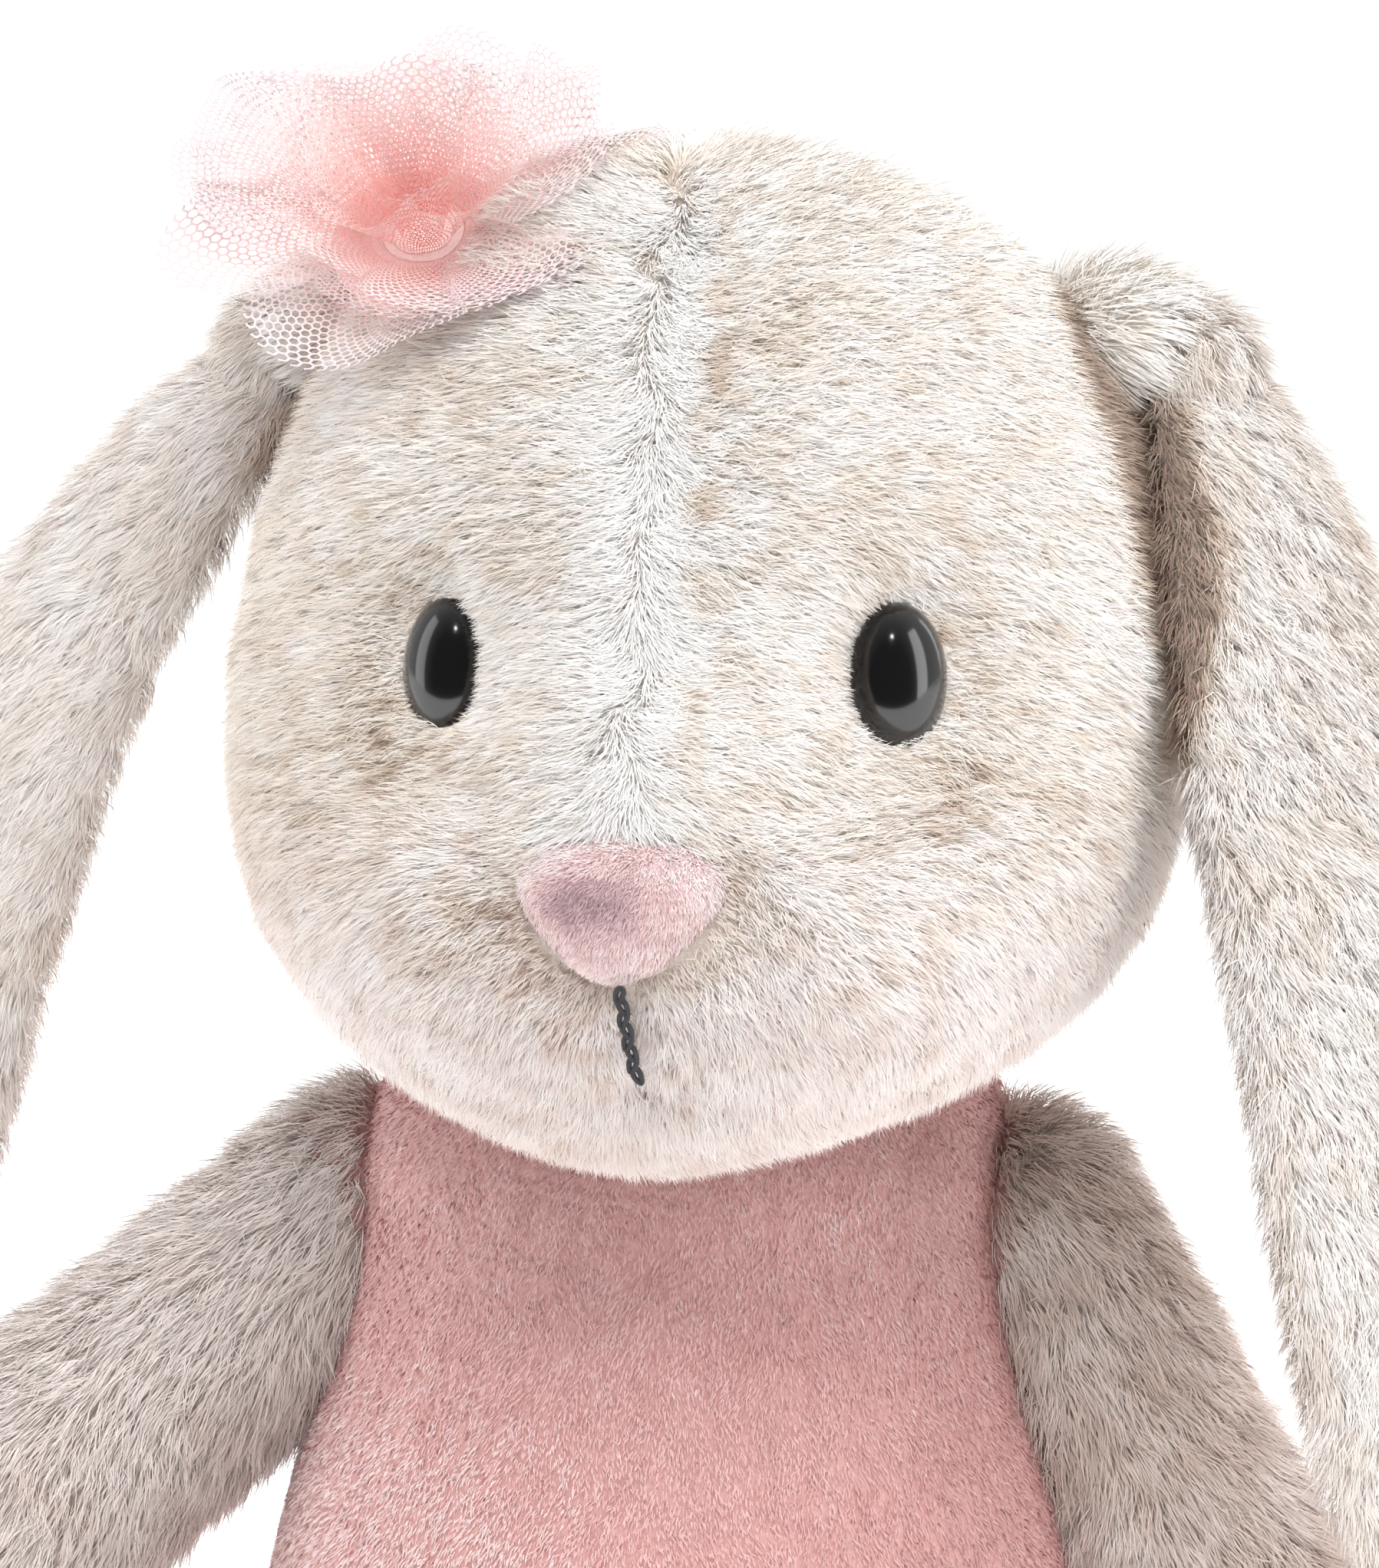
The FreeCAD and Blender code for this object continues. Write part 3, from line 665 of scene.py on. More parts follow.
    # Painted shade in the crease under each eye
    for side_x in (-1.0, 1.0):
        level -= 0.11 * bump_at(q, (1.75 + side_x * 28.0, -38.0, 40.5), (7.0, 30.0, 3.6))
    # Share of hairs that take the pink-tinted shades, most on the lower face: painted pink light bounced
    # from the body
    blush = 0.12 + 0.62 * fade(high, 12.0, 48.0)
    pile("head_pile", "head", roots, normals, flow, length, 0.125, level, FUR_SHADES,
         clump=1.4, pull=0.3, wild=0.4, rise=(54.0, 28.0), stand=-0.35 * ridge,
         other=PINK_BOUNCE_SHADES, mixed=blush)


def build_eyes():
    for name, seat in EYE_SEATS.items():
        axes = frame_to(EYE_AIMS[name])
        rows, cols = 48, 96
        lift = np.linspace(0.0, pi / 2, rows, endpoint=False)
        turn = np.linspace(0.0, 2 * pi, cols, endpoint=False)
        l, t = np.meshgrid(lift, turn, indexing="ij")
        local = np.stack((
            EYE_HALF[0] * np.cos(l) * np.cos(t), EYE_HALF[2] * np.cos(l) * np.sin(t),
            EYE_HALF[1] * np.sin(l) ** 1.05,
        ), -1)
        skirt = local[:1] * (1.0, 1.0, 0.0) + (0.0, 0.0, -3.0)
        grid = np.concatenate((skirt, local)) @ axes.T + seat
        verts, faces = wrap(grid, seat - axes[:, 2] * 3.0, seat + axes[:, 2] * EYE_HALF[1])
        obj = make("eye_dome_" + name, "head", verts, faces, [GLOSS], ["eye_" + name, "eye_washer_" + name])


def build_nose():
    """A puffed velour triangle, point down, with a short nap."""
    rows, cols = 40, 120
    share = np.linspace(1.0, 0.0, rows, endpoint=False)
    turn = np.linspace(0.0, 2 * pi, cols, endpoint=False)
    s, t = np.meshgrid(share, turn, indexing="ij")
    corners = np.array((
        (1.00, 0.12), (0.96, 0.46), (0.78, 0.78), (0.48, 0.97), (0.0, 1.03), (-0.48, 0.97), (-0.78, 0.78),
        (-0.97, 0.46), (-1.00, 0.12), (-0.84, -0.30), (-0.50, -0.78), (-0.06, -1.02), (0.40, -0.84),
        (0.76, -0.36),
    ))
    closed = np.vstack((corners[-2:], corners, corners[:3]))
    outline = smooth_rows(closed, 2.0 + t[0] / (2 * pi) * len(corners))
    x = NOSE_HALF_W * outline[:, 0] * s
    z = NOSE_HALF_H * outline[:, 1] * s
    puff = 8.6 * (1.0 - s ** 3.2) ** 0.55
    y = NOSE[1] + 6.2 - puff + 0.012 * x * x + 2.6 * ease(z, 2.6, 8.4)
    y = y + 0.5 * hill(z, 3.4, 0.7) * (1.0 - s ** 4)
    grid = np.stack((NOSE[0] + x, y, NOSE[2] + z), -1)
    verts, faces = wrap(grid, None, np.array((NOSE[0], NOSE[1] - 2.4, NOSE[2])))
    if vertex_normals(verts, faces)[-1][1] > 0:
        faces = faces[:, ::-1]
    verts = verts + vertex_normals(verts, faces) * (0.25 * clouds(verts, 3.0, 8))[:, None]
    obj = make("nose_skin", "head", verts, faces, [NOSE_CLOTH], ["nose_pad", "nose_padding"])
    roots, normals = scattered(verts, faces, 20000)
    q = (roots - NOSE) / (NOSE_HALF_W, 1.0, NOSE_HALF_H)
    centre = np.exp(-0.5 * ((q[:, 0] + 0.22) ** 2 / 0.14 + (q[:, 2] - 0.10) ** 2 / 0.07)) * (q[:, 2] < 0.44)
    # Painted highlight round the rim of the nose, strongest at its top
    edge = ease(np.hypot(q[:, 0], q[:, 2]), 0.5, 1.0) * (0.35 + 0.65 * ease(q[:, 2], -0.3, 0.4))
    level = 0.66 - 0.5 * centre + 0.34 * edge + 0.12 * clouds(roots, 1.6, 9) + 0.1 * clouds(roots, 0.7, 3)
    flow = np.stack((-0.4 + 0.5 * clouds(roots, 2.5, 1), 0 * level, -1.0 + 0.5 * clouds(roots, 2.0, 2)), 1)
    pile("nose_nap", "head", roots, normals, flow, 0.9, 0.10, level, NOSE_SHADES,
         clump=0, rise=(46.0, 24.0), wild=0.3, contrast=0.5)


def build_mouth():
    """Chain stitches of dark thread, each a loop that starts inside the one above."""
    links = []
    count = 8
    for k in range(count):
        share = (k + 0.5) / count
        z = MOUTH_TOP + (MOUTH_LOW - MOUTH_TOP) * share
        y = HEAD[1] - 57.5 + 4.6 * share ** 1.5
        lean = 0.34 if k % 2 else -0.30
        turn = np.linspace(0, 2 * pi, 20, endpoint=False)
        wide = 0.36 * np.sin(turn) * (1.0 + 0.4 * np.cos(turn))
        tall = 0.86 * np.cos(turn)
        loop = np.stack((
            MOUTH_X + wide * cos(lean) - tall * sin(lean) + 1.0 * share - 0.5 + (0.14 if k % 2 else -0.14),
            y - 0.35 * np.cos(turn) - 0.25 * np.sin(turn) ** 2,
            z + tall * cos(lean) + wide * sin(lean),
        ), 1)
        ring_turn = np.linspace(0, 2 * pi, 8, endpoint=False)
        ahead = unit(np.roll(loop, -1, 0) - np.roll(loop, 1, 0))
        side = unit(np.cross(ahead, (0.0, -1.0, 0.0)))
        up = np.cross(side, ahead)
        grid = loop[:, None] + 0.29 * (
            np.cos(ring_turn)[None, :, None] * side[:, None] + np.sin(ring_turn)[None, :, None] * up[:, None]
        )
        grid = np.concatenate((grid, grid[:1]))
        links.append(wrap(grid))
    verts, faces = joined(links)
    obj = make("mouth_chain", "head", verts, faces, [THREAD], "mouth_stitch")
    roots, normals = scattered(verts, faces, 1500)
    pile("mouth_fuzz", "head", roots, normals, rng.normal(size=roots.shape), 0.8, 0.05,
         rng.random(len(roots)), [THREAD, THREAD_LIGHT], clump=0, contrast=1.0)


# ---- body

def body_surface():
    rows, cols = 150, 200
    neck = radians(1.0) * np.linspace(12.0, 88.0, 9)
    dome = np.stack((NECK[2] + NECK_R * np.sin(neck), NECK_R * np.cos(neck), -NECK_R * np.cos(neck),
                     NECK_R * np.cos(neck)), 1)
    rings = np.vstack((BODY_RINGS, dome))
    where = np.linspace(0.0, len(rings) - 1.0, rows)
    row = smooth_rows(rings, where)
    turn = np.linspace(0.0, 2 * pi, cols, endpoint=False)[::-1]
    middle = 0.5 * (row[:, 2] + row[:, 3])[:, None]
    depth = 0.5 * (row[:, 3] - row[:, 2])[:, None]
    grid = np.stack((
        row[:, 1:2] * np.sin(turn), BODY_Y + middle + depth * np.cos(turn),
        np.broadcast_to(row[:, :1], (rows, cols)),
    ), -1)
    verts, faces = wrap(grid, np.array((0.0, BODY_Y, 0.0)), np.array((0.0, BODY_Y, NECK[2] + NECK_R)))
    normals = vertex_normals(verts, faces)
    x, z = verts[:, 0], verts[:, 2]
    front = ease(-(verts[:, 1] - BODY_Y), 5.0, 25.0)
    out = 0.35 * clouds(verts, 12.0, 11)
    gather = hill(x, -3.0, 9.0) * hill(z, 87.5, 3.5) * front
    out += 0.16 * gather * np.sin(z * 2 * pi / 1.9 + 0.3 * x)
    seams = hill(verts[:, 1], BODY_Y, 1.0) * ease(z, 6.0, 9.0)
    behind = hill(x, 0.0, 1.0) * ease(verts[:, 1] - BODY_Y, 5.0, 10.0)
    out -= 0.9 * np.maximum(seams, behind)
    out[z < 1.5] = 0.0
    verts = verts + normals * out[:, None]
    for root, way in list(ARMS.values()) + list(LEGS.values()):
        rings = ARM_RINGS if way[2] < -0.1 else LEG_RINGS
        verts = pressed(verts, root, way, rings)
    return verts, faces


def pressed(verts, root, way, rings):
    """Points inside a limb are pushed out of its side."""
    way = unit(way)
    along = (verts - root) @ way
    reach = np.clip(along, 0.0, rings[-2][0])
    nearest = root + reach[:, None] * way
    away = verts - nearest
    distance = np.linalg.norm(away, axis=1)
    radius = np.interp(reach, [r[0] for r in rings], [r[1] for r in rings]) + 0.7
    inside = distance < radius
    pushed = nearest + away / np.maximum(distance, 1e-6)[:, None] * radius[:, None]
    return np.where(inside[:, None], pushed, verts)


def build_body():
    verts, faces = body_surface()
    centres = verts[faces].mean(1)
    low = centres[:, 2] < SEAT_PANEL_H
    front = ~low & (centres[:, 1] < BODY_Y)
    back_left = ~low & ~front & (centres[:, 0] >= 0)
    back_right = ~low & ~front & (centres[:, 0] < 0)
    panels = {
        "seat": (low, ["body_seat", "pellet_bag", "pellets"]),
        "front": (front, ["body_front", "body_stuffing"]),
        "back_left": (back_left, ["body_back_left"]),
        "back_right": (back_right, ["body_back_right"]),
    }
    for name, (mask, nodes) in panels.items():
        obj = make("body_skin_" + name, "torso", *cut(verts, faces, mask), [VELOUR], nodes)

    def thick(p):
        seen = (p[:, 2] > 3.0) & (p[:, 2] < 100.0)
        return seen * (0.45 + 0.55 * ease(-(p[:, 1] - BODY_Y), -10.0, 12.0))

    roots, normals = scattered(verts, faces, NAP_BODY, thick)
    streak = roots * np.array((1.0, 1.0, 0.5))
    level = 0.72 + 0.10 * clouds(streak, 1.1, 12) + 0.08 * clouds(streak, 3.0, 13)
    level += 0.08 * clouds(roots, 15.0, 14)
    # Painted shadow under the chin at the top of the body
    level -= 0.10 * ease(roots[:, 2], 86.0, 97.0)
    # Painted highlight on the lower front at -X and painted shade on the lower front at +X
    low = fade(roots[:, 2], 38.0, 74.0)
    level += 0.5 * low * fade(roots[:, 0], -30.0, -2.0)
    level -= 0.30 * low * ease(roots[:, 0], 2.0, 24.0)
    # Painted shade on the body round each arm
    for root, way in ARMS.values():
        along = np.clip((roots - root) @ unit(way), 0.0, 60.0)
        gap = np.linalg.norm(roots - root - along[:, None] * unit(way), axis=1)
        level -= 0.42 * fade(gap, 13.0, 20.0)
    flow = np.stack((0.5 * clouds(roots, 4.0, 15), 0 * level, -1.0 + 0 * level), 1)
    pile("body_nap", "torso", roots, normals, flow, 0.9, 0.18, level, ROSE_SHADES,
         clump=0, rise=(42.0, 20.0), wild=0.25, contrast=0.3)

    points = np.array(((0.0, 47.2, 46.0), (0.0, 45.8, 62.0), (0.0, 43.9, 76.0)))
    slant = np.array(((-0.9, 0.0, 0.0), (0.0, 0.35, 0.0), (0.9, 0.0, 0.0)))
    links = []
    for k in range(15):
        share = np.array((k, k + 0.42, k + 0.84)) / 15.0
        line = smooth_rows(points, share * 2.0) + slant
        links.append(tube(smooth_rows(line, np.linspace(0, 2, 9)), 0.32, 8))
    verts, faces = joined(links)
    obj = make("back_stitches", "torso", verts, faces, [SEAM_THREAD], "back_seam")


def build_band():
    rows, cols = 10, 160
    high = np.linspace(23.5, 31.0, rows)
    turn = np.linspace(0, 2 * pi, cols, endpoint=False)
    shells = []
    for radius, order in ((37.45, 1), (38.3, -1)):
        reach = np.sqrt(radius ** 2 - high ** 2)[:, None]
        ring = np.stack((reach * np.cos(turn), reach * np.sin(turn),
                         np.broadcast_to(high[:, None], (rows, cols))), -1)
        shells.append(ring[::order])
    grid = np.concatenate((*shells, shells[0][:1])) + NECK
    verts, faces = wrap(grid)
    obj = make("neck_ring", "neck", verts, faces[:, ::-1], [BAND], "neck_band")


# ---- limbs

def limb_surface(root, way, rings, shift=0):
    """A stuffed limb with a ball-shaped root, slightly uneven along its length."""
    way = unit(way)
    rows = 70
    ball = radians(1.0) * np.linspace(-86.0, -8.0, 10)
    profile = [(rings[0][1] * sin(a), rings[0][1] * cos(a)) for a in ball] + list(rings[:-1])
    tip = rings[-1][0]
    last = rings[-2]
    for a in (30.0, 60.0, 82.0):
        profile.append((last[0] + (tip - last[0]) * sin(radians(a)), last[1] * cos(radians(a))))
    line = smooth_rows(profile, np.linspace(0, len(profile) - 1.0, rows))
    side = unit(np.cross(way, (0.0, 0.0, 1.0)))
    up = np.cross(side, way)
    turn = np.linspace(0, 2 * pi, 60, endpoint=False)
    round_ = np.cos(turn)[:, None] * side + np.sin(turn)[:, None] * up
    grid = root + line[:, :1, None] * way + line[:, 1:, None] * round_[None]
    verts, faces = wrap(grid[:, ::-1], root - way * rings[0][1], root + way * tip)
    if (vertex_normals(verts, faces)[35 * 60] * (verts[35 * 60] - root - way * line[35, 0])).sum() < 0:
        faces = faces[:, ::-1]
    out = 0.5 * clouds(verts, 10.0, 20 + shift) + 0.3 * clouds(verts, 4.0, 21 + shift)
    return verts + vertex_normals(verts, faces) * out[:, None], faces


def limb_pile(name, body, verts, faces, count, way, length, dim, allowed, shift, tones=FUR_SHADES):
    """Pile combed down a limb, where it is allowed to stand. dim is the middle of its shades."""
    roots, normals = scattered(verts, faces, int(count * 1.15), allowed)
    roots, normals = roots[allowed(roots)], normals[allowed(roots)]
    way = unit(way)
    spin = np.cross(way, normals)
    flow = way + 0.5 * spin * clouds(roots, 10.0, shift)[:, None] + np.array((0.0, 0.0, -0.45))
    flow += 0.4 * clouds(roots, 5.0, shift + 2)[:, None] * normals[:, ::-1]
    flecks = 0.6 * clouds(roots, 2.4, shift + 3) + 0.6 * clouds(roots, 5.5, shift + 4)
    level = dim + 0.26 * flecks
    pile(name, body, roots, normals, flow, length, 0.145, level, tones,
         clump=1.9, pull=0.5, rise=(54.0, 24.0), wild=0.36)


def off_body(p):
    """Whether a point is outside the body."""
    row = smooth_rows(BODY_RINGS, np.interp(p[:, 2], BODY_RINGS[:, 0], np.arange(len(BODY_RINGS))))
    middle = BODY_Y + 0.5 * (row[:, 2] + row[:, 3])
    depth = 0.5 * (row[:, 3] - row[:, 2])
    half = row[:, 1]
    above = np.maximum(p[:, 2] - NECK[2], 0.0)
    shrink = np.sqrt(np.maximum(1.0 - (above / NECK_R) ** 2, 0.01))
    away = (p[:, 0] / half / shrink) ** 2 + ((p[:, 1] - middle) / depth / shrink) ** 2
    return away > 0.98


def build_arms():
    for number, (name, (root, way)) in enumerate(ARMS.items()):
        verts, faces = limb_surface(root, way, ARM_RINGS, number)
        body = "arm_" + name
        obj = make("arm_skin_" + name, body, verts, faces, [UNDERFUR],
                   ["arm_plush_" + name, "arm_stuffing_" + name])
        # The same pile at two levels: the left arm painted in shade, the right arm painted lit
        dim = 0.65 if name == "left" else 0.96
        limb_pile("arm_pile_" + name, body, verts, faces, FUR_ARM, way, 6.0, dim,
                  off_body, 30 + 7 * number, ARM_SHADE_AND_BOUNCE_SHADES)


def foot_surface(centre, forward):
    """An upright foot whose front is pressed nearly flat for the sole."""
    axes = np.stack((forward, unit(np.cross((0, 0, 1.0), forward)), (0.0, 0.0, 1.0)))
    local = FOOT_HALF * ball_grid(50, 70, 0.03)
    flat = FOOT_HALF[0] - 2.6
    local[..., 0] = np.where(local[..., 0] > flat, flat + 0.12 * (local[..., 0] - flat), local[..., 0])
    poles = [centre + np.array((0, 0, s * FOOT_HALF[2])) for s in (-1, 1)]
    return wrap(local @ axes + centre, *poles)


def build_legs():
    for number, (name, (root, way)) in enumerate(LEGS.items()):
        side = 1.0 if name == "left" else -1.0
        limb_v, limb_f = limb_surface(root, way, LEG_RINGS, 5 + number)
        forward = unit(way)
        centre = root + forward * FOOT_ALONG + (0, 0, FOOT_RISE)
        foot_v, foot_f = foot_surface(centre, forward)
        limb_v[:, 2] = np.maximum(limb_v[:, 2], 0.4)
        limb_v -= np.maximum((limb_v - root) @ forward - LEG_STOP, 0.0)[:, None] * forward
        body = "leg_" + name
        ahead = (foot_v - centre) @ forward
        sole = ahead[foot_f].min(1) > FOOT_HALF[0] - 2.9
        verts, faces = joined(((limb_v, limb_f), (foot_v, foot_f[~sole])))
        obj = make("leg_skin_" + name, body, *cut(verts, faces, slice(None)), [UNDERFUR],
                   ["leg_plush_" + name, "leg_stuffing_" + name])
        pad_v, pad_f = cut(foot_v + forward * 0.3, foot_f, sole)
        pad = make("sole_skin_" + name, body, pad_v, pad_f, [NOSE_CLOTH], "sole_" + name)
        roots, normals = scattered(pad_v, pad_f, 9000)
        level = 0.52 + 0.15 * clouds(roots, 1.5, 3) + 0.12 * clouds(roots, 4.0, 5)
        flow = np.broadcast_to(np.array((0.0, 0.0, -1.0)), roots.shape)
        pile("sole_nap_" + name, body, roots, normals, flow, 0.9, 0.18, level, NOSE_SHADES,
             clump=0, rise=(46.0, 22.0), wild=0.35, contrast=0.6)

        def outside(p):
            q = p - centre
            local = np.stack((q @ forward, q @ np.array((-forward[1], forward[0], 0.0)), q[:, 2]), 1)
            in_foot = np.linalg.norm(local / FOOT_HALF, axis=1) < 0.9
            along = (p - root) @ forward
            off = np.linalg.norm(p - root - along[:, None] * forward, axis=1)
            in_limb = (off < 13.5) & (along > 0) & (along < 66)
            on_body = ((p[:, 0] / 49.0) ** 2 + ((p[:, 1] - 4.0) / 45.5) ** 2 < 0.93) & (side * p[:, 0] < 60)
            on_sole = local[:, 0] > FOOT_HALF[0] - 3.2
            return ~(in_foot | in_limb | on_body | on_sole | (p[:, 2] < 1.5))

        limb_pile("leg_pile_" + name, body, verts, faces, FUR_LEG, way, 5.6, 0.64,
                  outside, 50 + 7 * number)


def build_tail():
    verts, faces = ball(TAIL, np.full(3, TAIL_R), 40, 60, 0.04)
    obj = make("tail_skin", "torso", verts, faces, [UNDERFUR], ["tail_plush", "tail_stuffing"])

    def outside(p):
        return (p[:, 0] / 49.5) ** 2 + ((p[:, 1] - BODY_Y) / 42.5) ** 2 > 1.0

    limb_pile("tail_pile", "torso", verts, faces, FUR_TAIL, np.array((0.0, 1.0, -0.3)), 6.5, 0.80,
              outside, 80)


# ---- ears

def ear_frames(name, rows):
    line = np.array(EAR_LINES[name])
    where = np.linspace(0.0, len(line) - 1.0, rows)
    centres = smooth_rows(line, where)
    half = smooth_rows(np.array(EAR_HALF_WIDTHS)[:, None], where)[:, 0]
    share = (where / where[-1])[:, None]
    wide = np.array(EAR_WIDES[name])
    across = unit(wide[0] * (1.0 - share) + wide[1] * share)
    ahead = unit(np.gradient(centres, axis=0))
    normal = unit(np.cross(ahead, across))
    normal = normal * np.sign((normal * (1.0 if name == "left" else -1.0, 0, 0)).sum(1, keepdims=True))
    return centres, half, across, normal, share[:, 0]


def ear_sheet(name, low, high, out, rows=110, cols=60):
    """One side of an ear flap, round its edge from one angle to the other."""
    centres, half, across, normal, share = ear_frames(name, rows)
    turn = np.linspace(radians(low), radians(high), cols)
    depth = (0.55 + 0.45 * ease(share, 0.0, 0.12)) * (1.0 - 0.45 * ease(share, 0.75, 1.0))
    half = half * (1.0 - 0.35 * ease(share, 0.94, 1.0))
    thick = np.where(np.sin(turn) > 0, EAR_OUT, EAR_IN) * out
    grid = (
        centres[:, None] + (half[:, None] * np.cos(turn))[:, :, None] * across[:, None]
        + (depth[:, None] * thick * np.sin(turn))[:, :, None] * normal[:, None]
    )
    verts, faces = strip(grid)
    n = vertex_normals(verts, faces)
    mid = grid.reshape(-1, 3) - np.repeat(centres, cols, axis=0)
    if (n * mid).sum() < 0:
        faces = faces[:, ::-1]
        n = -n
    verts = verts + n * (0.4 * clouds(verts, 8.0, 60))[:, None]
    return verts, faces, np.repeat(share, cols), np.tile(turn, rows)


def build_ears():
    for number, (name, line) in enumerate(EAR_LINES.items()):
        body = "ear_" + name
        line = np.array(line)
        root = line[0]
        flap = ear_sheet(name, -28.0, 208.0, 1.0)
        verts, faces = joined((flap[:2], ball(root, np.full(3, EAR_BALL), 30, 40, 0.05)))
        obj = make("ear_skin_" + name, body, verts, faces, [UNDERFUR], "ear_plush_" + name)
        inner = ear_sheet(name, 200.0, 340.0, 0.96)
        lining = make("ear_inner_" + name, body, inner[0], inner[1], [LINING_CLOTH], "ear_lining_" + name)

        def along(p):
            """The way from root to tip at the nearest point of the ear's middle line."""
            gap = np.linalg.norm(p[:, None] - line[None, :, :], axis=2)
            return unit(np.gradient(line, axis=0))[np.argmin(gap, axis=1)]

        roots, normals = scattered(verts, faces, FUR_EAR)
        keep = np.linalg.norm((roots - STUBS[name]) / STUB_HALF, axis=1) > 1.0
        keep &= np.linalg.norm(roots - root, axis=1) >= EAR_BALL - 0.5
        roots, normals = roots[keep], normals[keep]
        ahead = along(roots)
        beside = np.cross(ahead, normals)
        flow = ahead + 0.30 * clouds(roots, 6.0, 61 + number)[:, None] * beside
        flow += 0.22 * clouds(roots, 3.0, 63)[:, None] * beside
        stretched = roots * np.array((1.0, 1.0, 0.45))
        flecks = 0.7 * clouds(stretched, 2.0, 64 + number) + 0.6 * clouds(stretched, 4.5, 66)
        level = 0.66 + 0.22 * flecks
        # Painted shade on the ear's hairs where they lie close to the head
        gap = np.linalg.norm((roots - HEAD - (0.0, 0.0, 50.0)) / (52.0, 53.0, 54.0), axis=1)
        level -= 0.8 * fade(gap, 1.04, 1.12)
        # A quarter of the hairs, evenly over the ear, take the pink-tinted shades made for painted bounce
        # light
        pile("ear_pile_" + name, body, roots, normals, flow, 4.8, 0.125, level, FUR_SHADES,
             clump=1.8, pull=0.48, rise=(48.0, 20.0), wild=0.36, other=PINK_BOUNCE_SHADES, mixed=0.25)
        roots, normals = scattered(inner[0], inner[1], FUR_LINING)
        level = 0.72 + 0.14 * clouds(roots, 3.0, 70)
        pile("ear_lining_pile_" + name, body, roots, normals, along(roots), 2.2, 0.17, level, FUR_SHADES,
             clump=1.2, pull=0.4, contrast=1.0, rise=(40.0, 20.0))

        centre = STUBS[name]
        verts, faces = ball(centre, STUB_HALF, 30, 40, 0.05)
        stub = make("ear_root_" + name, "head", verts, faces, [UNDERFUR], "ear_stub_" + name)
        roots, normals = scattered(verts, faces, FUR_STUB)
        keep = (np.linalg.norm(roots - root, axis=1) > 7.4) & (roots[:, 2] > centre[2] - 4.0)
        roots, normals = roots[keep], normals[keep]
        side = 1.0 if name == "left" else -1.0
        flow = np.stack((side + 0 * roots[:, 0], 0.2 * clouds(roots, 5.0, 72), -0.5 + 0 * roots[:, 0]), 1)
        level = 0.70 + 0.16 * clouds(roots, 3.0, 73)
        pile("ear_root_pile_" + name, "head", roots, normals, flow, 5.0, 0.18, level, FUR_SHADES,
             clump=1.6, pull=0.5)


# ---- rosette

def strip_turns(s):
    """Turns wound by a length of the strip. Each turn takes more of it than the last."""
    return (np.sqrt(12.0 ** 2 + 64.0 * s) - 12.0) / 32.0


def rosette_point(s, w):
    """Where a point of the tulle strip goes: s along it in millimetres, w across it from root to edge."""
    turns = strip_turns(s)
    inner = ease(turns, 0.0, 1.8)
    outer = ease(turns, 1.6, 3.4)
    angle = 2 * pi * turns + 0.5
    wave = np.sin(2.6 * angle + 1.3 * np.sin(1.7 * angle))
    fold = np.sin(6.7 * angle + 1.4 * np.sin(2.3 * angle))
    open_ = 0.10 + 0.44 * inner + 0.66 * outer + (0.12 + 0.20 * outer) * wave * inner
    root = 1.2 + 0.95 * turns
    length = 13.0 + 2.5 * inner + 2.4 * outer + 1.7 * wave * outer + 1.2 * np.sin(2.3 * angle)
    reach = root + length * w * np.sin(open_) + 2.0 * fold * w ** 1.5 * (0.25 + 0.75 * outer)
    rise = 1.0 + 3.0 * np.sqrt(w) * inner + length * w * np.cos(open_) * 0.9
    rise += (2.6 * wave * outer - 2.0 * outer + 1.0 * fold + 1.2 * (1.0 - inner) * wave) * w ** 2
    lean = angle + 0.17 * np.sin(5.3 * angle) * w + 0.08 * fold * w
    across = 1.10 * reach * np.cos(lean) - 1.0 * w
    return np.stack((across, 0.96 * reach * np.sin(lean) + 0.6 * w, rise), -1)


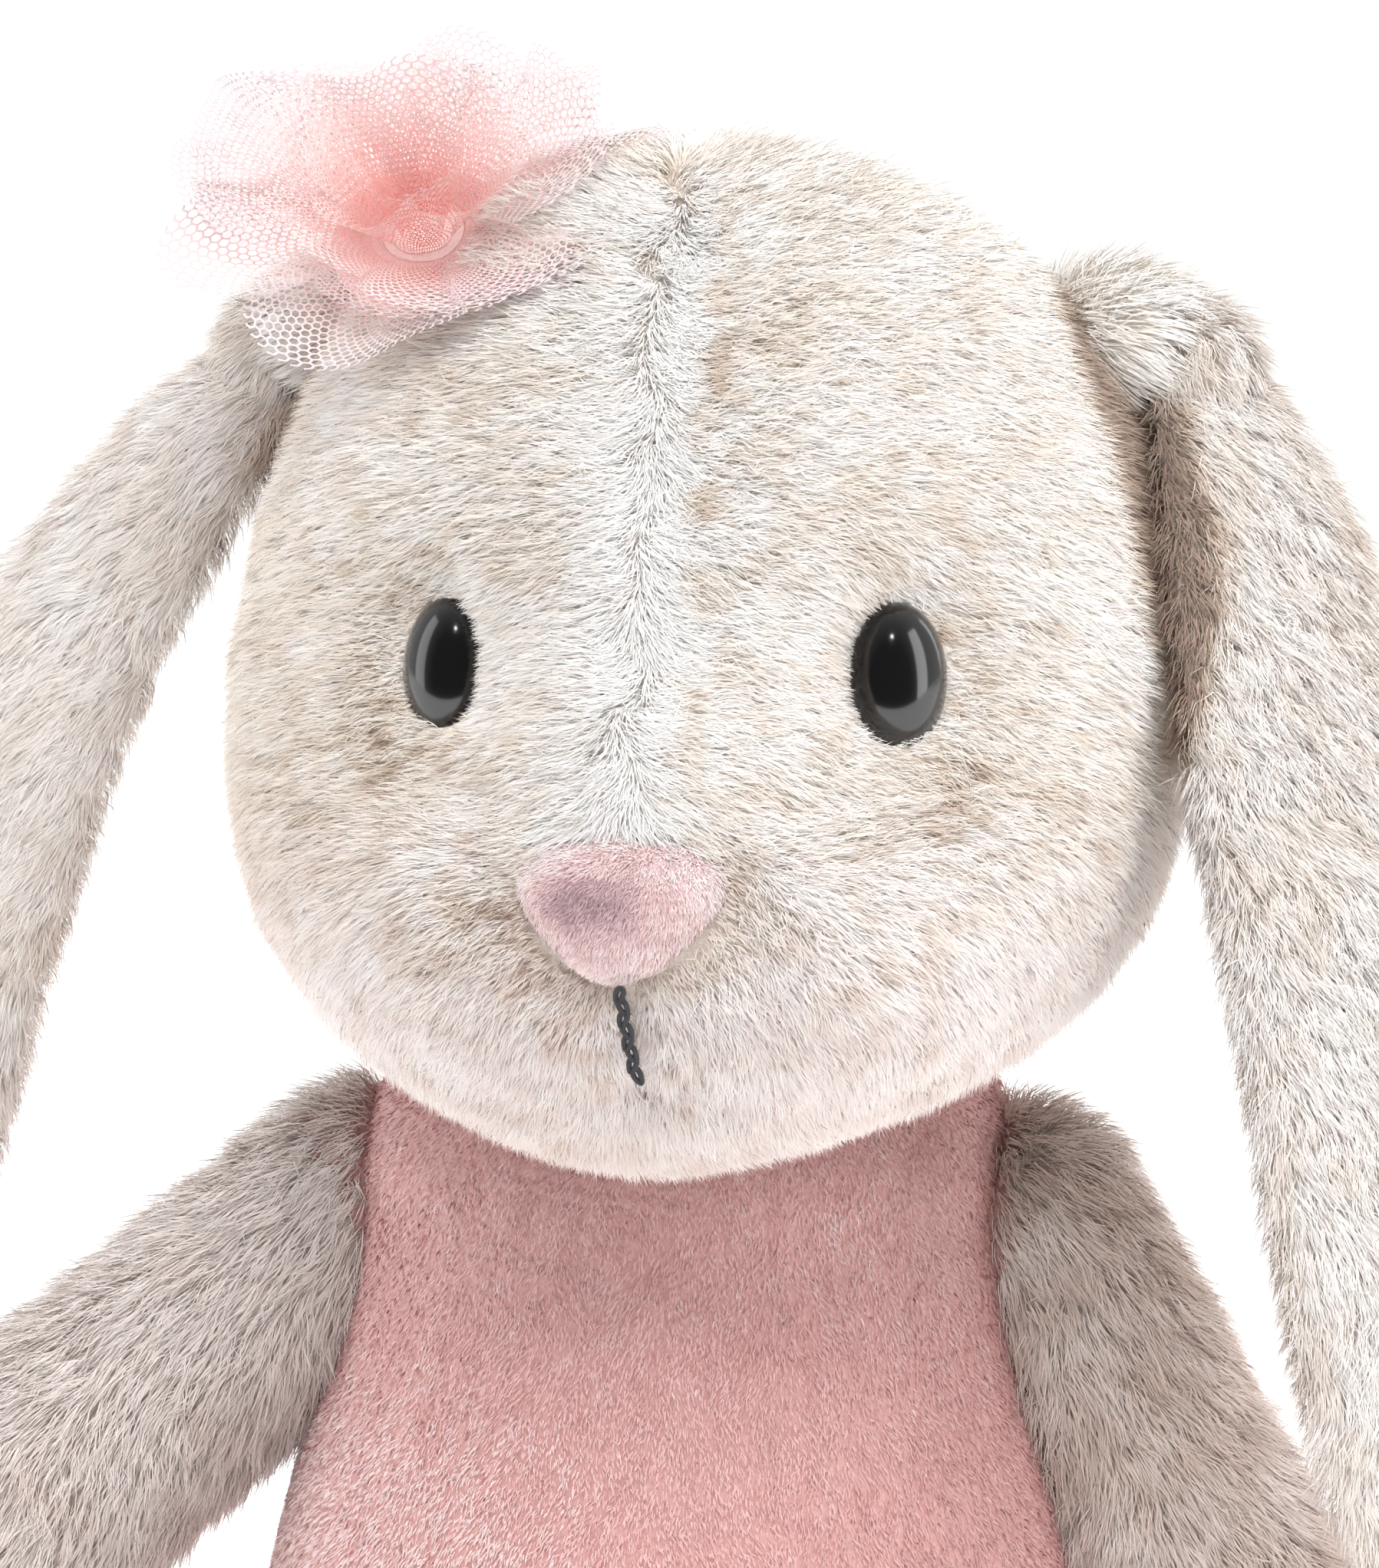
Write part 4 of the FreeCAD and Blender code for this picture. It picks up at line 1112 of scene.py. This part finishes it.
def build_rosette():
    """A gathered strip of hexagonal net, wound from a tight bud to a wide ruffled rim."""
    axes = frame_to(ROSETTE_AIM)
    wide, length = TULLE_WIDE, TULLE_LENGTH
    row_h = MESH_PITCH * 0.8660254
    columns, rows = int(length / MESH_PITCH), int(wide / row_h)
    i, j = np.meshgrid(np.arange(columns), np.arange(rows), indexing="ij")
    x = (i + 0.5 * (j % 2)) * MESH_PITCH
    y = j * row_h
    r = MESH_PITCH / 3 ** 0.5
    corners = []
    for k in range(4):
        lean = radians(90 - 60 * k)
        corners.append(np.stack((x + r * cos(lean), y + r * sin(lean)), -1).reshape(-1, 2))
    a, b = np.vstack(corners[:3]), np.vstack(corners[1:])
    way = unit(b - a)
    side = np.stack((-way[:, 1], way[:, 0]), 1) * THREAD_HALF
    flat = np.stack((a - side, a + side, b + side, b - side), 1)
    s = flat[..., 0]
    w = np.clip(flat[..., 1] / wide, 0.0, 1.0)
    grid = rosette_point(s, w)
    verts = (grid.reshape(-1, 3) @ axes.T) + ROSETTE
    base = 4 * np.arange(len(a))[:, None]
    faces = np.stack((base + (0, 1, 2), base + (0, 2, 3)), 1).reshape(-1, 3)
    turn_of = strip_turns(s.mean(1))
    middle = w.mean(1)
    level = 0.06 + 0.085 * turn_of + 0.50 * middle ** 1.6 + rng.normal(0, 0.04, len(a))
    picks = np.repeat(np.clip(level * len(TULLE_SHADES), 0, len(TULLE_SHADES) - 1).astype(int), 2)
    split = np.repeat(s.mean(1) < BUD_LENGTH, 2)
    for name, mask, node in (("rosette_heart", split, "rosette_bud"),
                             ("rosette_petals", ~split, "rosette_tulle")):
        obj = make(name, "head", *cut(verts, faces, mask), TULLE_SHADES, node,
                   picks=picks[mask], smooth=False)
    turn = np.linspace(0, 2 * pi, 60, endpoint=False)
    rings = []
    for radius, high in ((9.0, -0.4), (9.8, 0.0), (9.8, 0.9), (8.8, 1.4), (2.0, 1.5)):
        rings.append(np.stack((radius * np.cos(turn), radius * np.sin(turn), high + 0 * turn), -1))
    grid = np.array(rings) @ axes.T + ROSETTE
    verts, faces = wrap(grid, ROSETTE - axes[:, 2] * 0.5, ROSETTE + axes[:, 2] * 1.5)
    obj = make("felt_disc", "head", verts, faces, [FELT], "rosette_felt")


# ---- studio

def build_studio():
    bpy.ops.mesh.primitive_circle_add(vertices=96, radius=4.0, fill_type="NGON", location=(0, 3.68, -0.0005))
    floor = bpy.context.object
    floor.name = "studio_floor"
    floor.data.materials.append(plain("floor_white", (0.93, 0.93, 0.93), 0.9, Emission_Color=(1, 1, 1, 1),
                                      Emission_Strength=0.55))
    world = bpy.data.worlds.new("studio")
    bpy.context.scene.world = world
    world.use_nodes = True
    tree = world.node_tree
    tree.nodes.clear()
    link = tree.links.new
    out = add_node(tree, "ShaderNodeOutputWorld")
    seen = add_node(tree, "ShaderNodeBackground", Strength=1.35)
    light = add_node(tree, "ShaderNodeBackground")
    place = add_node(tree, "ShaderNodeTexCoord")
    split = add_node(tree, "ShaderNodeSeparateXYZ")
    link(place.outputs["Generated"], split.inputs["Vector"])
    front = add_node(tree, "ShaderNodeMapRange", From_Min=-0.75, From_Max=0.1, To_Min=0.1, To_Max=0.9)
    link(split.outputs["Y"], front.inputs["Value"])
    link(front.outputs["Result"], light.inputs["Strength"])
    path = add_node(tree, "ShaderNodeLightPath")
    mix = add_node(tree, "ShaderNodeMixShader")
    link(path.outputs["Is Camera Ray"], mix.inputs["Fac"])
    link(light.outputs["Background"], mix.inputs[1])
    link(seen.outputs["Background"], mix.inputs[2])
    link(mix.outputs["Shader"], out.inputs["Surface"])
    softbox("softbox_left", (-1.3, -0.42, 0.35), (0.6, 2.2), 8.0)
    softbox("softbox_right", (1.3, -0.50, 0.40), (0.6, 2.2), 13.0)
    softbox("softbox_top", (0.1, -0.75, 1.2), (1.0, 0.6), 15.0, glints=False)
    softbox("front_fill", (0.1, -1.5, 0.25), (0.9, 0.7), 2.5, glints=False)
    softbox("catchlight", (0.06, -0.75, 0.95), (0.10, 0.07), 0.6)
    softbox("rim_left", (-0.9, 0.9, 0.55), (0.6, 1.2), 3.0)
    softbox("rim_right", (0.9, 0.9, 0.55), (0.6, 1.2), 4.5)


def softbox(name, place, size, power, glints=True):
    lamp = bpy.data.lights.new(name, "AREA")
    lamp.shape = "RECTANGLE"
    lamp.size, lamp.size_y = size
    lamp.energy = power
    obj = bpy.data.objects.new(name, lamp)
    bpy.context.scene.collection.objects.link(obj)
    obj.location = place
    obj.visible_camera = False
    obj.visible_glossy = glints
    obj.rotation_euler = (Vector((0.0, 0.0, 0.13)) - obj.location).to_track_quat("-Z", "Y").to_euler()


def build_camera():
    target = Vector((2.4, -8.5, 128.2)) * MM
    turn, lift, far = radians(10.0), radians(8.0), 0.8
    camera = bpy.data.objects.new("camera", bpy.data.cameras.new("camera"))
    bpy.context.scene.collection.objects.link(camera)
    camera.location = target + far * Vector((sin(turn) * cos(lift), -cos(turn) * cos(lift), sin(lift)))
    camera.rotation_euler = (target - camera.location).to_track_quat("-Z", "Y").to_euler()
    camera.data.lens = 36.0 * far / 0.1703
    camera.data.clip_start = 0.01
    camera.data.clip_end = 50.0
    bpy.context.scene.camera = camera


build_head()
build_eyes()
build_nose()
build_mouth()
build_body()
build_band()
build_arms()
build_legs()
build_tail()
build_ears()
build_rosette()
build_studio()
build_camera()
bpy.context.scene.view_settings.view_transform = "Standard"
